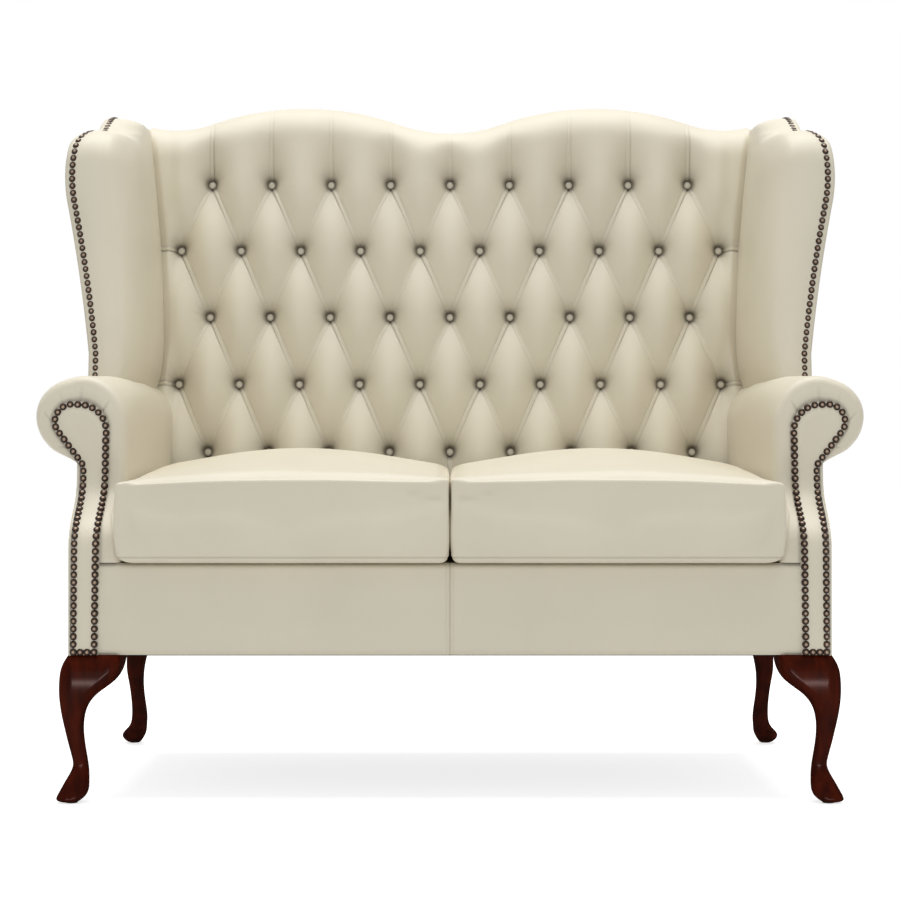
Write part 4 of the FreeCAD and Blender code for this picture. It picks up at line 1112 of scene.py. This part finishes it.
def cushion_marks(points):
    # Seam round the foot, slight waves in the front and soft creases by its inner top corner, with painted
    # shade along the seam and in the creases.
    x, t, z = points.T
    front = t < CUSHION_T[0] + 6.0
    arch = CREASE_Z + 20.0 * ((x - CREASE_X) / 75.0) ** 2
    crease_shade = front * bell(z - arch, 3.0) * smooth(x, 4.0, 20.0) * (1 - smooth(x, 50.0, 80.0))
    waves = front * np.sin(z * 0.16 + 0.9 * np.sin(x * 0.011)) * np.sin(x * 0.019 + z * 0.02)
    dark = 0.32 * bell(z - SEAM_Z, 1.2) + 0.10 * crease_shade
    p = points.copy()
    p[:, 1] += 1.5 * crease_shade + 0.10 * waves
    out = p[:, :2] - CUSHION_MIDDLE
    out /= np.linalg.norm(out, axis=1)[:, None]
    pull = 1.3 * bell(z - SEAM_Z, SEAM_WIDTH) * (z > CUSHION_Z + 4.0)
    p[:, :2] -= out * pull[:, None]
    # The two cushions press together in the middle and don't cross.
    p[:, 0] = np.maximum(p[:, 0], INNER_LIMIT)
    return p, np.clip(dark, 0.0, 0.5)


cushion_p, cushion_f = cushion_points()
cushion_p = inflated(cushion_p, cushion_f)
cushion_p, cushion_d = cushion_marks(cushion_p)
for side in ("right", "left"):
    pad = make(side + "_cushion_leather", cushion_p, cushion_f, cushion_d, side == "left")
    finer = pad.modifiers.new("finer", "SUBSURF")
    finer.levels = 1
    finer.render_levels = 1
    dress(pad, "cream_leather", (side + "_cushion_cover", side + "_cushion_core"), side + "_cushion")


# Stage, in metres: a pale floor that looks white and keeps the shadow
FLOOR = 20.0
FLOOR_GLOW = 0.72


def seen(nodes):
    # A node that gives 1 for what the camera sees, directly or in a reflection or through glass.
    ray = add(nodes, "ShaderNodeLightPath")
    shiny = add(nodes, "ShaderNodeMath", operation="MAXIMUM")
    join(ray, "Is Camera Ray", shiny, 0)
    join(ray, "Is Glossy Ray", shiny, 1)
    total = add(nodes, "ShaderNodeMath", operation="MAXIMUM")
    join(shiny, 0, total, 0)
    join(ray, "Is Transmission Ray", total, 1)
    return total


def stage_white():
    white, nodes = material("stage_white")
    out = add(nodes, "ShaderNodeOutputMaterial")
    both = add(nodes, "ShaderNodeAddShader")
    pale = add(nodes, "ShaderNodeBsdfDiffuse", Color=(0.80, 0.79, 0.77, 1.0))
    glow = add(nodes, "ShaderNodeEmission", Color=(1.0, 1.0, 1.0, 1.0))
    level = add(nodes, "ShaderNodeMath", operation="MULTIPLY")
    level.inputs[1].default_value = FLOOR_GLOW
    join(seen(nodes), 0, level, 0)
    join(level, 0, glow, "Strength")
    join(pale, 0, both, 0)
    join(glow, 0, both, 1)
    join(both, 0, out, "Surface")
    return white


mesh = bpy.data.meshes.new("floor")
corners = [(x * FLOOR, y * FLOOR, 0) for x, y in ((-1, -1), (1, -1), (1, 1), (-1, 1))]
mesh.from_pydata(corners, [], [(0, 1, 2, 3)])
floor = link(mesh, "floor")
floor.data.materials.append(stage_white())

# Soft light from all round, which the camera sees as plain white
AMBIENT = 0.485
world = bpy.data.worlds.new("studio")
scene.world = world
world.use_nodes = True
nodes = world.node_tree.nodes
nodes.clear()
out = add(nodes, "ShaderNodeOutputWorld")
mix = add(nodes, "ShaderNodeMixShader")
soft = add(nodes, "ShaderNodeBackground", Color=(0.95, 0.97, 1.0, 1.0), Strength=AMBIENT)
clear = add(nodes, "ShaderNodeBackground", Color=(1.0, 1.0, 1.0, 1.0), Strength=1.0)
join(seen(nodes), 0, mix, 0)
join(soft, 0, mix, 1)
join(clear, 0, mix, 2)
join(mix, 0, out, "Surface")


def lamp(name, place, aim, size, power):
    data = bpy.data.lights.new(name, "AREA")
    data.shape = "RECTANGLE"
    data.size, data.size_y = size
    data.energy = power
    obj = link(data, name)
    obj.location = place
    obj.rotation_euler = (Vector(aim) - Vector(place)).to_track_quat("-Z", "Y").to_euler()
    return obj


lamp("overhead", place=(0.0, 0.05, 6.0), aim=(0.0, 0.0, 0.5), size=(5.4, 3.9), power=293.0)
lamp("front", place=(0.0, -5.0, 1.6), aim=(0.0, 0.0, 0.6), size=(2.4, 0.6), power=28.0)
# A low strip gives the polished legs their sheen and lights nothing else.
strip = lamp("low_strip", place=(0.0, -4.6, 0.22), aim=(0.0, 0.0, 0.22), size=(3.2, 0.22), power=235.0)
strip.data.color = (1.0, 0.76, 0.72)
strip.visible_diffuse = False
polished = bpy.data.collections.new("polished")
for name in frame["nodes"]:
    if name.endswith("_leg"):
        polished.objects.link(bpy.data.objects[name])
strip.light_linking.receiver_collection = polished

# Camera as in the photo: its distance from the front border and its height, then pixels of the photo
CAMERA_AWAY, CAMERA_Z = 3.391, 0.55
PHOTO_PX, FOCAL_PX, SHIFT_PX = 900.0, 2238.0, -10.0
camera = link(bpy.data.cameras.new("camera"), "camera")
camera.location = (0.0, -CAMERA_AWAY - MID * MM, CAMERA_Z)
camera.rotation_euler = (math.pi / 2, 0.0, 0.0)
camera.data.sensor_width = 36.0
camera.data.lens = FOCAL_PX / PHOTO_PX * camera.data.sensor_width
camera.data.shift_y = SHIFT_PX / PHOTO_PX
camera.data.clip_end = 60.0
scene.camera = camera
scene.view_settings.view_transform = "Standard"
